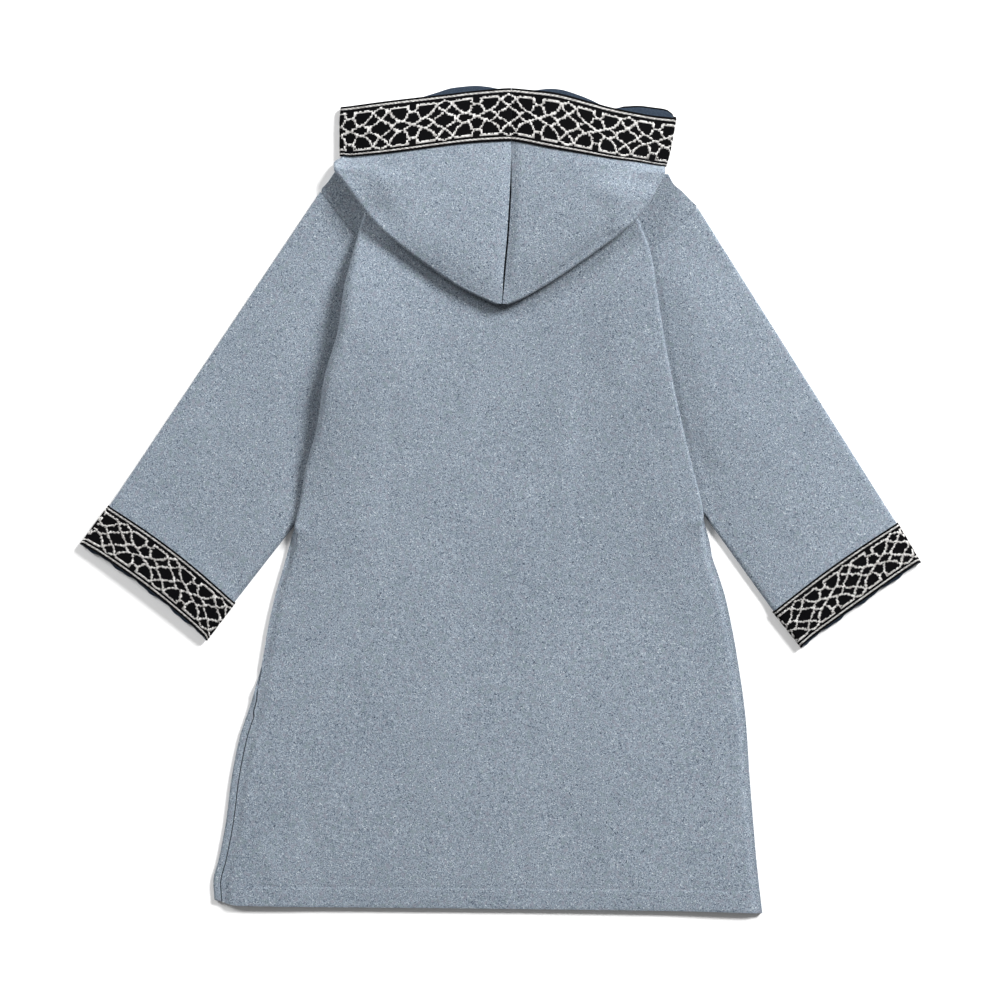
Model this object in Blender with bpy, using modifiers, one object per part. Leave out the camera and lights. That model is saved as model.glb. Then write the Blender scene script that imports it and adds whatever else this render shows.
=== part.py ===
"""A child's hooded robe of felted wool, laid flat on a floor with its back side up.

Every piece is a sheet of cloth: a grid of points through the middle of the wall, made from sections
worked out below, that Solidify turns into a wall. Lengths are in millimetres until a mesh is made.
+Z is up, +Y points from the hem to the hood and +X to the right as seen from above.
The front panel lies on the floor, the sleeves are flattened tubes beside it, the back panel lies on
top with both sides folded over the sleeves, and the pointed hood lies folded on the back panel.
"""

from math import pi, sin

import bpy
import numpy as np

MM = 0.001

# Driving dimensions of the cloth
CLOTH = 2.0            # thickness of the felted wool
RIBBON = 1.0           # thickness of the woven ribbon
GAP = 0.3              # between pieces that are sewn together or lie on each other
FOLD = 1.5             # radius of a pressed fold, through the middle of the wall
WRAP_FOLD = 1.2        # radius of the tighter fold of the front panel round the side edge
WRAP = 7.0             # width of the front panel that shows beside the left side seam
WRAP_START = 3.0       # the back panel has moved in this far where the front starts to turn up
LIFT_SIDE = 0.8        # shortest straight stretch in a fold
EDGE_RUN = 1.3         # straight stretch at an edge that isn't folded over
FOLDED_FROM = 100.0    # the inner fold is at least this far out where there is one
SLEEVE_PUFF = 2.4      # how much the middle of a sleeve stands above its edges
PUFF_START = 20.0      # a sleeve starts to puff up this far from the armhole
PUFF_REACH = 60.0
HOOD_PUFF = 2.2        # the same for each half of the hood
HOOD_FULL = 110.0      # a hood section at least this wide has its whole puff
ARC_STEPS = 4          # straight steps round half a fold

FLOOR_LEVEL = CLOTH / 2
LAYER = CLOTH + GAP
RIBBON_LIFT = CLOTH / 2 + GAP + RIBBON / 2
BAND_LEVEL = RIBBON + GAP + CLOTH / 2
ARC_CHORD = 2 * sin(pi / (2 * ARC_STEPS))

# Sections across the body, from hem to shoulder. Each row gives the distance out from the middle line
# of: edge, the panel's own edge or its armhole seam; fold, the outside of its fold over the sleeve;
# inner, the fold beneath that; and then turn, how far the fold is closed in degrees, lift, the
# radius of the upper fold, level, the height of the edge, and wrap, what the front panel takes.
COLUMNS = ("y", "edge", "fold", "inner", "turn", "lift", "level", "wrap")
LEFT_SIDE = (
    (-386.0, 268.5, 0, 0, 20, 1.5, 3.4, 7.0),
    (-367.5, 269.6, 0, 0, 20, 1.5, 3.4, 7.0),
    (-339.3, 264.4, 0, 0, 20, 1.5, 3.4, 7.0),
    (-301.7, 257.4, 0, 0, 20, 1.5, 3.4, 7.0),
    (-264.1, 252.7, 0, 0, 20, 1.5, 3.4, 7.0),
    (-221.8, 244.2, 0, 0, 20, 1.5, 3.4, 7.0),
    (-207.7, 239.5, 0, 0, 20, 1.5, 3.4, 7.0),
    (-193.6, 234.8, 0, 0, 20, 1.5, 3.4, 6.3),
    (-179.5, 230.6, 0, 0, 20, 1.5, 3.4, 5.0),
    (-165.0, 226.6, 0, 0, 20, 1.5, 3.4, 3.0),
    (-151.3, 223.1, 0, 0, 20, 1.5, 3.4, 0.0),
    (-123.1, 218.4, 0, 0, 22, 1.5, 3.4, 0.0),
    (-94.9, 212.3, 0, 0, 27, 1.5, 3.4, 0.0),
    (-71.4, 205.7, 0, 0, 35, 1.5, 3.4, 0.0),
    (-53.6, 200.5, 0, 0, 46, 1.5, 3.4, 0.0),
    (-43.2, 197.7, 0, 0, 60, 1.5, 3.5, 0.0),
    (-33.8, 195.3, 0, 0, 90, 1.2, 3.8, 0.0),
    (-25.4, 192.0, 193.0, 188.2, 180, 1.5, 4.0, 0.0),
    (-15.0, 187.5, 190.4, 184.3, 180, 1.5, 4.0, 0.0),
    (-2.8, 182.0, 187.5, 179.0, 180, 1.6, 4.0, 0.0),
    (22.6, 173.2, 183.6, 170.4, 180, 1.8, 4.0, 0.0),
    (68.6, 156.3, 171.4, 153.5, 180, 2.0, 4.0, 0.0),
    (111.9, 146.9, 164.8, 144.0, 180, 2.3, 4.0, 0.0),
    (158.9, 132.8, 151.6, 130.0, 180, 2.6, 4.0, 0.0),
    (198.3, 127.2, 146.0, 124.4, 180, 2.6, 4.0, 0.0),
    (228.4, 124.4, 138.5, 120.5, 180, 2.3, 4.0, 0.0),
    (246.3, 133.8, 133.8, 117.0, 180, 2.0, 4.0, 0.0),
    (257.6, 143.2, 130.5, 114.0, 180, 1.8, 4.0, 0.0),
    (268.8, 152.6, 127.2, 112.5, 180, 1.6, 4.0, 0.0),
    (273.5, 156.4, 126.0, 113.0, 150, 1.5, 4.0, 0.0),
    (281.0, 162.5, 124.5, 114.0, 110, 1.5, 4.0, 0.0),
    (288.6, 168.5, 122.5, 115.0, 60, 1.5, 4.0, 0.0),
    (297.0, 162.0, 121.0, 116.0, 20, 1.5, 3.7, 0.0),
    (307.4, 154.4, 119.0, 117.0, 5, 1.5, 3.4, 0.0),
)
RIGHT_SIDE = (
    (-386.0, 246.0, 0, 0, 20, 1.5, 3.4, 0.0),
    (-339.3, 240.5, 0, 0, 20, 1.5, 3.4, 0.0),
    (-301.7, 237.3, 0, 0, 20, 1.5, 3.4, 0.0),
    (-264.1, 234.3, 0, 0, 20, 1.5, 3.4, 0.0),
    (-207.7, 230.5, 0, 0, 20, 1.5, 3.4, 0.0),
    (-151.3, 222.8, 0, 0, 20, 1.5, 3.4, 0.0),
    (-94.9, 211.9, 0, 0, 26, 1.5, 3.4, 0.0),
    (-71.4, 204.8, 0, 0, 32, 1.5, 3.4, 0.0),
    (-53.6, 198.8, 0, 0, 38, 1.5, 3.4, 0.0),
    (-43.2, 197.1, 0, 0, 46, 1.5, 3.4, 0.0),
    (-33.8, 194.8, 0, 0, 60, 1.5, 3.5, 0.0),
    (-25.4, 192.4, 0, 0, 90, 1.2, 3.8, 0.0),
    (-15.0, 189.6, 190.6, 185.8, 180, 1.5, 4.0, 0.0),
    (-2.8, 184.0, 188.7, 181.2, 180, 1.5, 4.0, 0.0),
    (22.6, 173.6, 182.1, 170.8, 180, 1.5, 4.0, 0.0),
    (68.6, 160.5, 170.8, 157.7, 180, 1.6, 4.0, 0.0),
    (111.9, 148.2, 161.4, 145.4, 180, 1.7, 4.0, 0.0),
    (158.9, 138.8, 152.5, 136.0, 180, 1.8, 4.0, 0.0),
    (198.3, 135.1, 146.4, 132.3, 180, 1.8, 4.0, 0.0),
    (228.4, 139.8, 141.7, 126.5, 180, 1.8, 4.0, 0.0),
    (246.3, 156.7, 135.5, 121.0, 180, 1.8, 4.0, 0.0),
    (257.6, 169.5, 131.4, 117.5, 180, 1.7, 4.0, 0.0),
    (268.8, 180.2, 129.0, 116.0, 150, 1.6, 4.0, 0.0),
    (273.5, 184.9, 128.0, 116.5, 110, 1.5, 4.0, 0.0),
    (281.0, 178.0, 127.0, 117.0, 60, 1.5, 3.9, 0.0),
    (288.6, 171.0, 126.0, 118.0, 30, 1.5, 3.8, 0.0),
    (297.0, 163.0, 125.0, 119.0, 15, 1.5, 3.6, 0.0),
    (307.4, 158.0, 124.0, 120.0, 5, 1.5, 3.4, 0.0),
)
SIDES = {"left": (-1, np.array(LEFT_SIDE)), "right": (1, np.array(RIGHT_SIDE))}

# The rows where both panels and the sleeves meet, from shoulder to underarm
SHOULDER_Y = {"left": 288.6, "right": 273.5}
UNDERARM_Y = {"left": -25.4, "right": -15.0}
ROWS = np.array([row[0] for row in LEFT_SIDE])

# Height of the back panel along its middle line: y, height
MIDDLE = np.array(((-386, 3.7), (-350, 4.8), (-200, 5.2), (0, 5.2), (150, 5.6), (250, 6.0),
                   (307.4, 3.6)))
SAG_WIDTH = 52.0       # how fast the back panel sinks away from its folds
RIDGE_FADE = 30.0      # ridges fade out over this distance from the folds

# Soft ridges of the back panel: x, y, half length, half width, lean in degrees, height
RIDGES = (
    (-122, -6, 60, 16, 4, 1.0),
    (61, 65, 130, 14, 0, 0.9),
    (-160, -152, 40, 12, 40, 1.2),
    (141, 140, 22, 9, -35, 1.0),
    (165, -60, 70, 18, -12, 0.9),
    (-60, -250, 90, 26, 6, 0.8),
    (90, -280, 80, 24, -8, 0.8),
)

# The hem runs a little lower at the right: x, y
HEM = np.array(((-268.5, -376.0), (-245, -381.6), (0, -384.5), (160, -386.5), (246, -388.7)))
HEM_REACH = 60.0
TOP_SLANT = 3.4        # the right shoulder ends this much lower than the left
SLANT_WIDTH = 150.0
TOP_START = 285.0      # the top rows, which slope and reach the neck, start here
NECK_STRIP = 4.5       # the front panel reaches this much higher between the shoulders
NECK_HALF = 95.0

# Sleeves: corners of the ribbon's upper edge and of the cuff, at the outer and the lower edge
SLEEVES = {
    "left": {"band": ((-366.9, -6.6), (-249.4, -96.8)), "cuff": ((-392.2, -40.9), (-274.8, -130.4)),
             "band_bow": 4.0, "cuff_bow": 3.4},
    "right": {"band": ((372.0, -22.6), (256.3, -105.3)), "cuff": ((392.7, -58.0), (281.8, -136.9)),
              "band_bow": 2.6, "cuff_bow": 0.5},
}
SLEEVE_ROWS = 8
CUFF_ROWS = 3
UNDER_REACH = 3.5      # the under layer of a cuff shows this much below the upper one
UNDERARM_EASE = 1.3    # the sleeve's round lower fold stands this much clear of the underarm
UNDERARM_REACH = 16.0

# Hood sections, from its opening edge to its point. Each row gives the centre seam, the height of
# the under layer's row there, how far that layer has risen onto the body, and both outer folds.
HOOD_COLUMNS = ("seam_x", "seam_y", "under_y", "rise", "left_x", "left_y", "right_x", "right_y")
HOOD = np.array((
    (10.5, 385.0, 385.0, 0.0, -148.8, 367.5, 164.2, 357.2),
    (10.5, 368.5, 368.5, 0.0, -149.7, 352.5, 161.4, 341.2),
    (10.5, 351.6, 351.6, 0.0, -149.7, 336.5, 158.6, 326.2),
    (10.5, 334.6, 334.6, 0.0, -149.7, 321.5, 154.8, 312.1),
    (10.1, 320.5, 315.5, 0.3, -156.3, 314.9, 154.6, 309.3),
    (10.1, 306.4, 306.0, 1.0, -155.4, 307.2, 154.0, 304.0),
    (9.6, 288.0, 288.0, 1.0, -147.9, 298.0, 147.3, 291.4),
    (8.6, 270.0, 270.0, 1.0, -130.9, 274.5, 138.8, 276.4),
    (7.7, 255.0, 255.0, 1.0, -118.0, 258.5, 129.4, 263.2),
    (6.6, 240.0, 240.0, 1.0, -104.0, 245.0, 114.4, 249.1),
    (5.2, 226.0, 226.0, 1.0, -88.0, 232.0, 97.5, 236.9),
    (3.9, 211.5, 211.5, 1.0, -69.0, 218.0, 74.9, 220.9),
    (2.9, 197.0, 197.0, 1.0, -41.0, 199.5, 42.0, 199.3),
    (2.2, 187.5, 187.5, 1.0, -17.0, 187.6, 18.0, 185.8),
    (1.6, 182.4, 182.4, 1.0, -6.0, 182.9, 9.0, 182.5),
))
BAND_ROWS = 4          # the first rows carry the ribbon
NECK_ROW = 4           # the neck opens between this row of the under layer and the next
HOOD_STEPS = 9
GROOVE = 1.4           # how far the cloth dips into the centre seam
GROOVE_WIDTH = 7.0
GROOVE_FULL = 90.0     # a hood section at least this wide has the whole groove
SEAM_ROLL = 0.2        # what the tilted edges of that groove need beside the gap
SHOULDER_REST = 22.0   # the hood sinks onto the shoulder over this distance beyond the fold
SHOULDER_LEVEL = 4.4   # height of the cloth on the shoulders
CREST_WIDTH = 8.0      # width of the top of the body's fold
SPAN_REACH = 14.0      # the hood spans dips of the body that are shorter than twice this
SPAN_WIDTH = 7.0       # and narrower than twice this
SPAN_CLEAR = 0.3       # what the straight steps of both sheets need beside the gap

# The under layer rises above the ribbon in soft mounds: x, rise
LIP = np.array(((-148, 0), (-86, 0), (-62, 3.8), (-44, 7.0), (-27, 6.6), (-12, 4.3), (1, 0.9), (11, 0.2),
                (27, 0.9), (48, 4.7), (59, 5.6), (76, 4.7), (89, 2.8), (101, 0.5), (113, 2.8), (136, 7.2),
                (155, 6.4), (164, 1.0)))
# How the ribbon's upper and lower edges depart from straight lines: x, upper, lower
BOW = np.array(((-150, 0, 0), (-140, 0, -2.6), (-112, 0, -2.9), (-85, 0, -2.0), (-56, 0, -0.5),
                (-24, 0.5, 0.7), (10, 0, 0), (50, 2.6, -1.9), (82, 0, -2.3), (104, -2.0, -2.8),
                (136, -2.8, -1.2), (165, 0, 0)))

COLOURS = {
    "wool": (0.29, 0.34, 0.40, 1.0),
    "ribbon": (0.02, 0.02, 0.022, 1.0),
}


def smooth(value):
    """Rises softly from 0 to 1 as the value goes from 0 to 1."""
    value = np.clip(value, 0.0, 1.0)
    return value * value * (3 - 2 * value)


def section(side, y):
    """The named columns of one side of the body at height y."""
    table = SIDES[side][1]
    return {name: float(np.interp(y, table[:, 0], table[:, k])) for k, name in enumerate(COLUMNS)}


def arc_headings(turn):
    """Headings of the straight steps of a bend that turns by this much."""
    return turn * (np.arange(ARC_STEPS) + 0.5) / ARC_STEPS


def walk(start, steps):
    """Points reached from a start of (distance out, height) by steps of (length, heading inwards)."""
    steps = np.array(steps)
    out = start[0] - np.cumsum(steps[:, 0] * np.cos(steps[:, 1]))
    up = start[1] + np.cumsum(steps[:, 0] * np.sin(steps[:, 1]))
    return np.column_stack((np.append(start[0], out), np.append(start[1], up)))


def back_profile(side, y):
    """One side of a back panel section, from its edge through both folds to the top layer."""
    row = section(side, y)
    turn = np.radians(row["turn"])
    on_seam = UNDERARM_Y[side] - 0.1 <= y <= SHOULDER_Y[side] + 0.1
    start = row["edge"] - (GAP / 2 if on_seam else 0.0) - row["wrap"]
    run_in, run_out = EDGE_RUN, LIFT_SIDE
    if row["inner"] > FOLDED_FROM:
        run_in = start - row["inner"] - FOLD
        closed = (row["fold"] - CLOTH / 2 - row["lift"]) - (row["inner"] + FOLD)
        run_out = max(LIFT_SIDE, closed * (turn / pi) ** 6)
    steps = [(run_in / 2, 0.0)] * 2
    steps += [(ARC_CHORD * FOLD, heading) for heading in arc_headings(turn)]
    steps += [(run_out / 2, turn)] * 2
    steps += [(ARC_CHORD * row["lift"], heading) for heading in arc_headings(turn)[::-1]]
    return walk((start, row["level"]), steps)


# Where the top layer starts beside each fold: distance out and height, for each row
CRESTS = {side: np.array([back_profile(side, row)[-1] for row in ROWS]).T for side in SIDES}


def ridge_height(x, y):
    """Sum of the soft ridges at a point of the back panel."""
    total = np.zeros(np.broadcast(x, y).shape)
    for ridge_x, ridge_y, half_length, half_width, lean, height in RIDGES:
        angle = np.radians(lean)
        along = (y - ridge_y) * np.cos(angle) + (x - ridge_x) * np.sin(angle)
        across = (x - ridge_x) * np.cos(angle) - (y - ridge_y) * np.sin(angle)
        total = total + height * np.exp(-(along / half_length) ** 2 - (across / half_width) ** 2)
    return total


def back_height(x, y):
    """Height of the back panel's top layer: its middle line, raised towards the folds, and ridges."""
    middle = np.interp(y, MIDDLE[:, 0], MIDDLE[:, 1])
    height = middle
    nearest = np.full(np.shape(height), 1000.0)
    for side, (sign, _) in SIDES.items():
        out, top = (np.interp(y, ROWS, values) for values in CRESTS[side])
        inside = np.maximum(out - sign * x, 0.0)
        height = height + (top - middle) * np.exp(-(inside / SAG_WIDTH) ** 2)
        nearest = np.minimum(nearest, inside)
    return height + ridge_height(x, y) * smooth(nearest / RIDGE_FADE)


def hem_shift(x, y):
    """How far a point near the hem moves so that the last row lies on the hem line."""
    near = smooth(1 - (y - ROWS[0]) / HEM_REACH)
    return near * (np.interp(x, HEM[:, 0], HEM[:, 1]) - ROWS[0])


def near_top(y):
    """Rises from 0 to 1 through the top rows."""
    return smooth((y - TOP_START) / (ROWS[-1] - TOP_START))


def top_shift(x, y):
    """The shoulders slope down to the right in the top rows."""
    return -near_top(y) * TOP_SLANT * smooth(x / SLANT_WIDTH)


def back_grid(middle_steps=13):
    """Sections of the back panel: left edge and folds, top layer, right folds and edge."""
    rows = []
    for y in ROWS:
        left = back_profile("left", y)
        right = back_profile("right", y)
        x_left = -left[-1, 0]
        x_right = right[-1, 0]
        x = np.linspace(x_left, x_right, middle_steps + 1)[1:-1]
        top = np.column_stack((x, back_height(x, np.full_like(x, y))))
        left = np.column_stack((-left[:, 0], left[:, 1]))
        right = right[::-1]
        line = np.vstack((left, top, right))
        shifted = y + hem_shift(line[:, 0], y) + top_shift(line[:, 0], y)
        rows.append(np.column_stack((line[:, 0], shifted, line[:, 1])))
    return np.array(rows)


def front_profile(side, y):
    """One side of a front panel section, from its edge down round the fold to the floor."""
    row = section(side, y)
    on_seam = UNDERARM_Y[side] - 0.1 <= y <= SHOULDER_Y[side] + 0.1
    edge = row["edge"] - (GAP / 2 if on_seam else 0.0)
    turn = pi * smooth((row["wrap"] - WRAP_START) / (WRAP - WRAP_START))
    run = 1.0 + 1.5 * row["wrap"] / WRAP
    if turn > pi - 0.01:
        run = (edge - CLOTH / 2 - WRAP_FOLD) - (edge - row["wrap"] + GAP)
    steps = [(ARC_CHORD * WRAP_FOLD, pi - heading) for heading in arc_headings(turn)]
    steps += [(run, pi - turn)]
    line = walk((0.0, FLOOR_LEVEL), steps)
    reach = edge - CLOTH / 2 * smooth(turn / (pi / 2))
    line[:, 0] += reach - line[:, 0].max()
    return line[::-1]


def front_grid(middle_steps=9):
    """Sections of the front panel, flat on the floor."""
    rows = []
    for y in ROWS:
        left = front_profile("left", y)
        right = front_profile("right", y)[::-1]
        x = np.linspace(-left[-1, 0], right[0, 0], middle_steps + 1)[1:-1]
        middle = np.column_stack((x, np.full_like(x, FLOOR_LEVEL)))
        line = np.vstack((np.column_stack((-left[:, 0], left[:, 1])), middle, right))
        strip = NECK_STRIP * near_top(y) * smooth(2.0 - np.abs(line[:, 0]) / NECK_HALF)
        shifted = y + hem_shift(line[:, 0], y) + top_shift(line[:, 0], y) + strip
        rows.append(np.column_stack((line[:, 0], shifted, line[:, 1])))
    return np.array(rows)


def armhole_line(side):
    """Points of the armhole seam on the sleeve's side, from shoulder to underarm."""
    sign = SIDES[side][0]
    inside = (ROWS <= SHOULDER_Y[side] + 0.1) & (ROWS >= UNDERARM_Y[side] - 0.1)
    heights = ROWS[inside][::-1]
    ease = UNDERARM_EASE * smooth(1 - (heights - heights[-1]) / UNDERARM_REACH)
    out = np.array([section(side, y)["edge"] + GAP / 2 for y in heights]) + ease
    return np.column_stack((sign * out, heights))


def bowed_line(ends, shares, bow, away):
    """Points at the given shares of the way between two corners, bowed away from the cuff."""
    first, last = np.array(ends)
    straight = first + shares[:, None] * (last - first)
    return straight + away * bow * np.sin(pi * shares)[:, None]


def unit(vector):
    """The vector at length 1."""
    return vector / np.linalg.norm(vector, axis=-1, keepdims=True)


def outward(edges, insides):
    """For each point of an edge line, the direction square to that line, away from the inside."""
    along = unit(np.gradient(edges, axis=0))
    across = np.column_stack((-along[:, 1], along[:, 0]))
    away = np.sum(across * (edges - insides), axis=1, keepdims=True)
    return across * np.sign(away)


def flat_tube_section(line, end_out, lower, upper, pull):
    """A closed ring from a line in plan: over its upper layer, round one fold, back, and round."""
    line = line.copy()
    start_out = unit(line[0] - line[1])
    line[0] -= start_out * pull
    line[-1] -= end_out * pull
    radius = pull - CLOTH / 2
    angles = pi / 2 - pi * np.arange(1, ARC_STEPS) / ARC_STEPS
    ring = [np.column_stack((line, upper))]
    for place, out, low, high, order in (
            (line[-1], end_out, lower[-1], upper[-1], 1), (line[0], start_out, lower[0], upper[0], -1)):
        bend = angles[::order]
        plan = place + out * (radius * np.cos(bend))[:, None]
        height = (high + low) / 2 + (high - low) / 2 * np.sin(bend)
        ring.append(np.column_stack((plan, height)))
    back = np.column_stack((line, lower))[::-1]
    return np.vstack((ring[0], ring[1], back, ring[2]))


def sleeve_grid(side):
    """Rings of one sleeve from the armhole seam to the cuff."""
    shape = SLEEVES[side]
    armhole = armhole_line(side)
    length = np.append(0.0, np.cumsum(np.linalg.norm(np.diff(armhole, axis=0), axis=1)))
    shares = length / length[-1]
    away = unit(np.array(shape["band"][0]) - np.array(shape["cuff"][0]))
    band = bowed_line(shape["band"], shares, shape["band_bow"], away)
    cuff = bowed_line(shape["cuff"], shares, shape["cuff_bow"], away)
    lines = [armhole + (band - armhole) * step / SLEEVE_ROWS for step in range(SLEEVE_ROWS)]
    lines += [band + (cuff - band) * step / CUFF_ROWS for step in range(CUFF_ROWS + 1)]
    lines = np.array(lines)
    end_out = outward(lines[:, -1], lines[:, -2])
    rows = []
    for step, line in enumerate(lines):
        ribboned = smooth(step - SLEEVE_ROWS + 1.0)
        travelled = np.linalg.norm(line - armhole, axis=1)
        low = FLOOR_LEVEL + ribboned * (BAND_LEVEL - FLOOR_LEVEL) + 0.0 * shares
        puff = SLEEVE_PUFF * np.sin(pi * shares) ** 0.7 * smooth((travelled - PUFF_START) / PUFF_REACH)
        high = low + 2 * FOLD + puff
        ring = flat_tube_section(line, end_out[step], low, high, CLOTH / 2 + FOLD)
        reach = UNDER_REACH * smooth((step - SLEEVE_ROWS) / CUFF_ROWS)
        under = smooth((high.mean() - ring[:, 2]) / (2 * FOLD))
        ring[:, :2] -= away * (reach * under)[:, None]
        rows.append(ring)
    return np.array(rows)


def body_height(x, y):
    """Height of the body's top layer, also on the shoulders beyond the folds."""
    height = back_height(x, y)
    for side, (sign, _) in SIDES.items():
        out, top = (np.interp(y, ROWS, values) for values in CRESTS[side])
        beyond = smooth((sign * x - out - CREST_WIDTH) / SHOULDER_REST)
        height = height + (SHOULDER_LEVEL - top) * beyond
    return height


def hood_level(x, y):
    """Height of the hood's under layer on the body: it spans the highest cloth within its reach."""
    spanned = [body_height(x + across, np.clip(y + along, ROWS[0], ROWS[-1]))
               for along in np.linspace(-SPAN_REACH, SPAN_REACH, 7)
               for across in (-SPAN_WIDTH, 0, SPAN_WIDTH)]
    return np.max(spanned, axis=0) + LAYER + SPAN_CLEAR


def hood_grid(side):
    """Sections of one hood half: upper layer from the seam, round the outer fold, under layer back."""
    sign = SIDES[side][0]
    column = {name: HOOD[:, k] for k, name in enumerate(HOOD_COLUMNS)}
    ends = np.column_stack((column[side + "_x"], column[side + "_y"]))
    seam = np.column_stack((column["seam_x"] + sign * (GAP / 2 + SEAM_ROLL), column["seam_y"]))
    along = unit(np.gradient(ends, axis=0))
    rows = []
    for k in range(len(HOOD)):
        inward = unit(seam[k] - ends[k])
        across = abs(inward[0] * along[k][1] - inward[1] * along[k][0])
        spread = min(1 / max(across, 0.01), 1.9)
        pulled = ends[k] + inward * (CLOTH / 2 + FOLD) * spread
        shares = np.linspace(0, 1, HOOD_STEPS + 1)
        upper = seam[k] + shares[:, None] * (pulled - seam[k])
        lower_seam = np.array((seam[k][0], column["under_y"][k]))
        lower = lower_seam + shares[:, None] * (pulled - lower_seam)
        bend = max(0.0, 1 - k / (BAND_ROWS - 1)), min(1.0, k / (BAND_ROWS - 1)) * max(0.0, 1 - (k - 3) / 3)
        for layer in (upper, lower):
            fade = np.sin(pi * shares) ** 0.3
            layer[:, 1] += fade * (bend[0] * np.interp(layer[:, 0], BOW[:, 0], BOW[:, 1])
                                   + bend[1] * np.interp(layer[:, 0], BOW[:, 0], BOW[:, 2]))
        lower[:, 1] += bend[0] ** 2 * np.interp(lower[:, 0], LIP[:, 0], LIP[:, 1])
        rise = column["rise"][k]
        lower_z = BAND_LEVEL + rise * (hood_level(lower[:, 0], lower[:, 1]) - BAND_LEVEL)
        width = np.linalg.norm(ends[k] - seam[k])
        puff = HOOD_PUFF * np.sin(pi * shares) ** 0.8 * smooth(width / HOOD_FULL)
        depth = GROOVE * smooth(width / GROOVE_FULL)
        groove = depth * np.exp(-(shares * width / GROOVE_WIDTH) ** 2)
        base = BAND_LEVEL + rise * (hood_level(upper[:, 0], upper[:, 1]) - BAND_LEVEL)
        upper_z = base + 2 * FOLD + puff + (1 - shares) * depth - groove
        upper_z[-1] = lower_z[-1] + 2 * FOLD
        angles = pi / 2 - pi * np.arange(1, ARC_STEPS) / ARC_STEPS
        plan = pulled - inward * (FOLD * spread * np.cos(angles))[:, None]
        height = lower_z[-1] + FOLD + FOLD * np.sin(angles)
        rows.append(np.vstack((np.column_stack((upper, upper_z)), np.column_stack((plan, height)),
                               np.column_stack((lower, lower_z))[::-1])))
    return np.array(rows)


def grid_normals(grid, closed):
    """Unit normals of a grid of points, from its differences along and across."""
    if closed:
        across = np.roll(grid, -1, axis=1) - np.roll(grid, 1, axis=1)
    else:
        across = np.gradient(grid, axis=1)
    along = np.gradient(grid, axis=0)
    return unit(np.cross(along, across))


def ribbon_grid(grid, rows, closed):
    """The ribbon's sheet: the rows of cloth that it lies on, moved out by the gap and its half."""
    normals = grid_normals(grid, closed)
    flip = -1.0 if normals[0, 1, 2] < 0 else 1.0
    moved = (grid + flip * normals * RIBBON_LIFT)[rows]
    if not closed:
        moved[:, (0, -1), :2] = grid[rows][:, (0, -1), :2]
    moved[:, :, 2] = np.maximum(moved[:, :, 2], RIBBON / 2)
    return moved


def sheet(name, grid, thickness, material, collection, closed=False, slit=None):
    """A wall of cloth: faces over the grid of points, and Solidify to give it its thickness."""
    rows, columns = grid.shape[:2]
    index = np.arange(rows * columns).reshape(rows, columns)
    if closed:
        index = np.column_stack((index, index[:, 0]))
    faces = np.stack((index[:-1, :-1], index[:-1, 1:], index[1:, 1:], index[1:, :-1]), axis=-1)
    keep = np.ones(faces.shape[:2], dtype=bool)
    if slit is not None:
        row, first, last = slit
        keep[row, first:last] = False
    mesh = bpy.data.meshes.new(name)
    mesh.from_pydata(grid.reshape(-1, 3) * MM, [], faces[keep].tolist())
    mesh.shade_smooth()
    obj = bpy.data.objects.new(name, mesh)
    collection.objects.link(obj)
    mesh.materials.append(material)
    wall = obj.modifiers.new("wall", "SOLIDIFY")
    wall.thickness = thickness * MM
    wall.offset = 0.0
    return obj


def finish(name, colour, roughness, metallic=0.0):
    """A plain material with the colour of the piece."""
    material = bpy.data.materials.new(name)
    material.use_nodes = True
    shader = material.node_tree.nodes["Principled BSDF"]
    shader.inputs["Base Color"].default_value = colour
    shader.inputs["Roughness"].default_value = roughness
    shader.inputs["Metallic"].default_value = metallic
    return material


def settle(objects):
    """Moves every mesh so that the origin is at the bottom centre of the robe's box."""
    bpy.context.view_layer.update()
    graph = bpy.context.evaluated_depsgraph_get()
    corners = np.vstack([np.array(obj.evaluated_get(graph).bound_box) for obj in objects])
    low, high = corners.min(axis=0), corners.max(axis=0)
    shift = -np.array(((low[0] + high[0]) / 2, (low[1] + high[1]) / 2, low[2]))
    for obj in objects:
        places = np.empty(len(obj.data.vertices) * 3)
        obj.data.vertices.foreach_get("co", places)
        obj.data.vertices.foreach_set("co", (places.reshape(-1, 3) + shift).ravel())
        obj.data.update()


def build():
    """Makes every piece of the robe."""
    for thing in list(bpy.data.objects):
        bpy.data.objects.remove(thing, do_unlink=True)
    robe = bpy.data.collections.new("jilbab")
    bpy.context.scene.collection.children.link(robe)
    pieces = [
        sheet("front", front_grid(), CLOTH, finish("front_wool", COLOURS["wool"], 0.95), robe),
        sheet("back", back_grid(), CLOTH, finish("back_wool", COLOURS["wool"], 0.95), robe),
    ]
    for side in SIDES:
        wool = finish(f"sleeve_{side}_wool", COLOURS["wool"], 0.95)
        sleeve = sleeve_grid(side)
        pieces.append(sheet(f"sleeve_{side}", sleeve, CLOTH, wool, robe, closed=True))
        ribbon = finish(f"cuff_{side}_ribbon", COLOURS["ribbon"], 0.5)
        cuff = ribbon_grid(sleeve, slice(SLEEVE_ROWS, None), closed=True)
        pieces.append(sheet(f"cuff_trim_{side}", cuff, RIBBON, ribbon, robe, closed=True))
        hood = hood_grid(side)
        under_start = HOOD_STEPS + ARC_STEPS
        slit = (NECK_ROW, under_start + 4, hood.shape[1] - 1)
        wool = finish(f"hood_{side}_wool", COLOURS["wool"], 0.95)
        pieces.append(sheet(f"hood_{side}", hood, CLOTH, wool, robe, slit=slit))
        ribbon = finish(f"hood_{side}_ribbon", COLOURS["ribbon"], 0.5)
        band = ribbon_grid(hood, slice(0, BAND_ROWS), closed=False)
        pieces.append(sheet(f"hood_trim_{side}", band, RIBBON, ribbon, robe))
    settle(pieces)


build()
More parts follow.
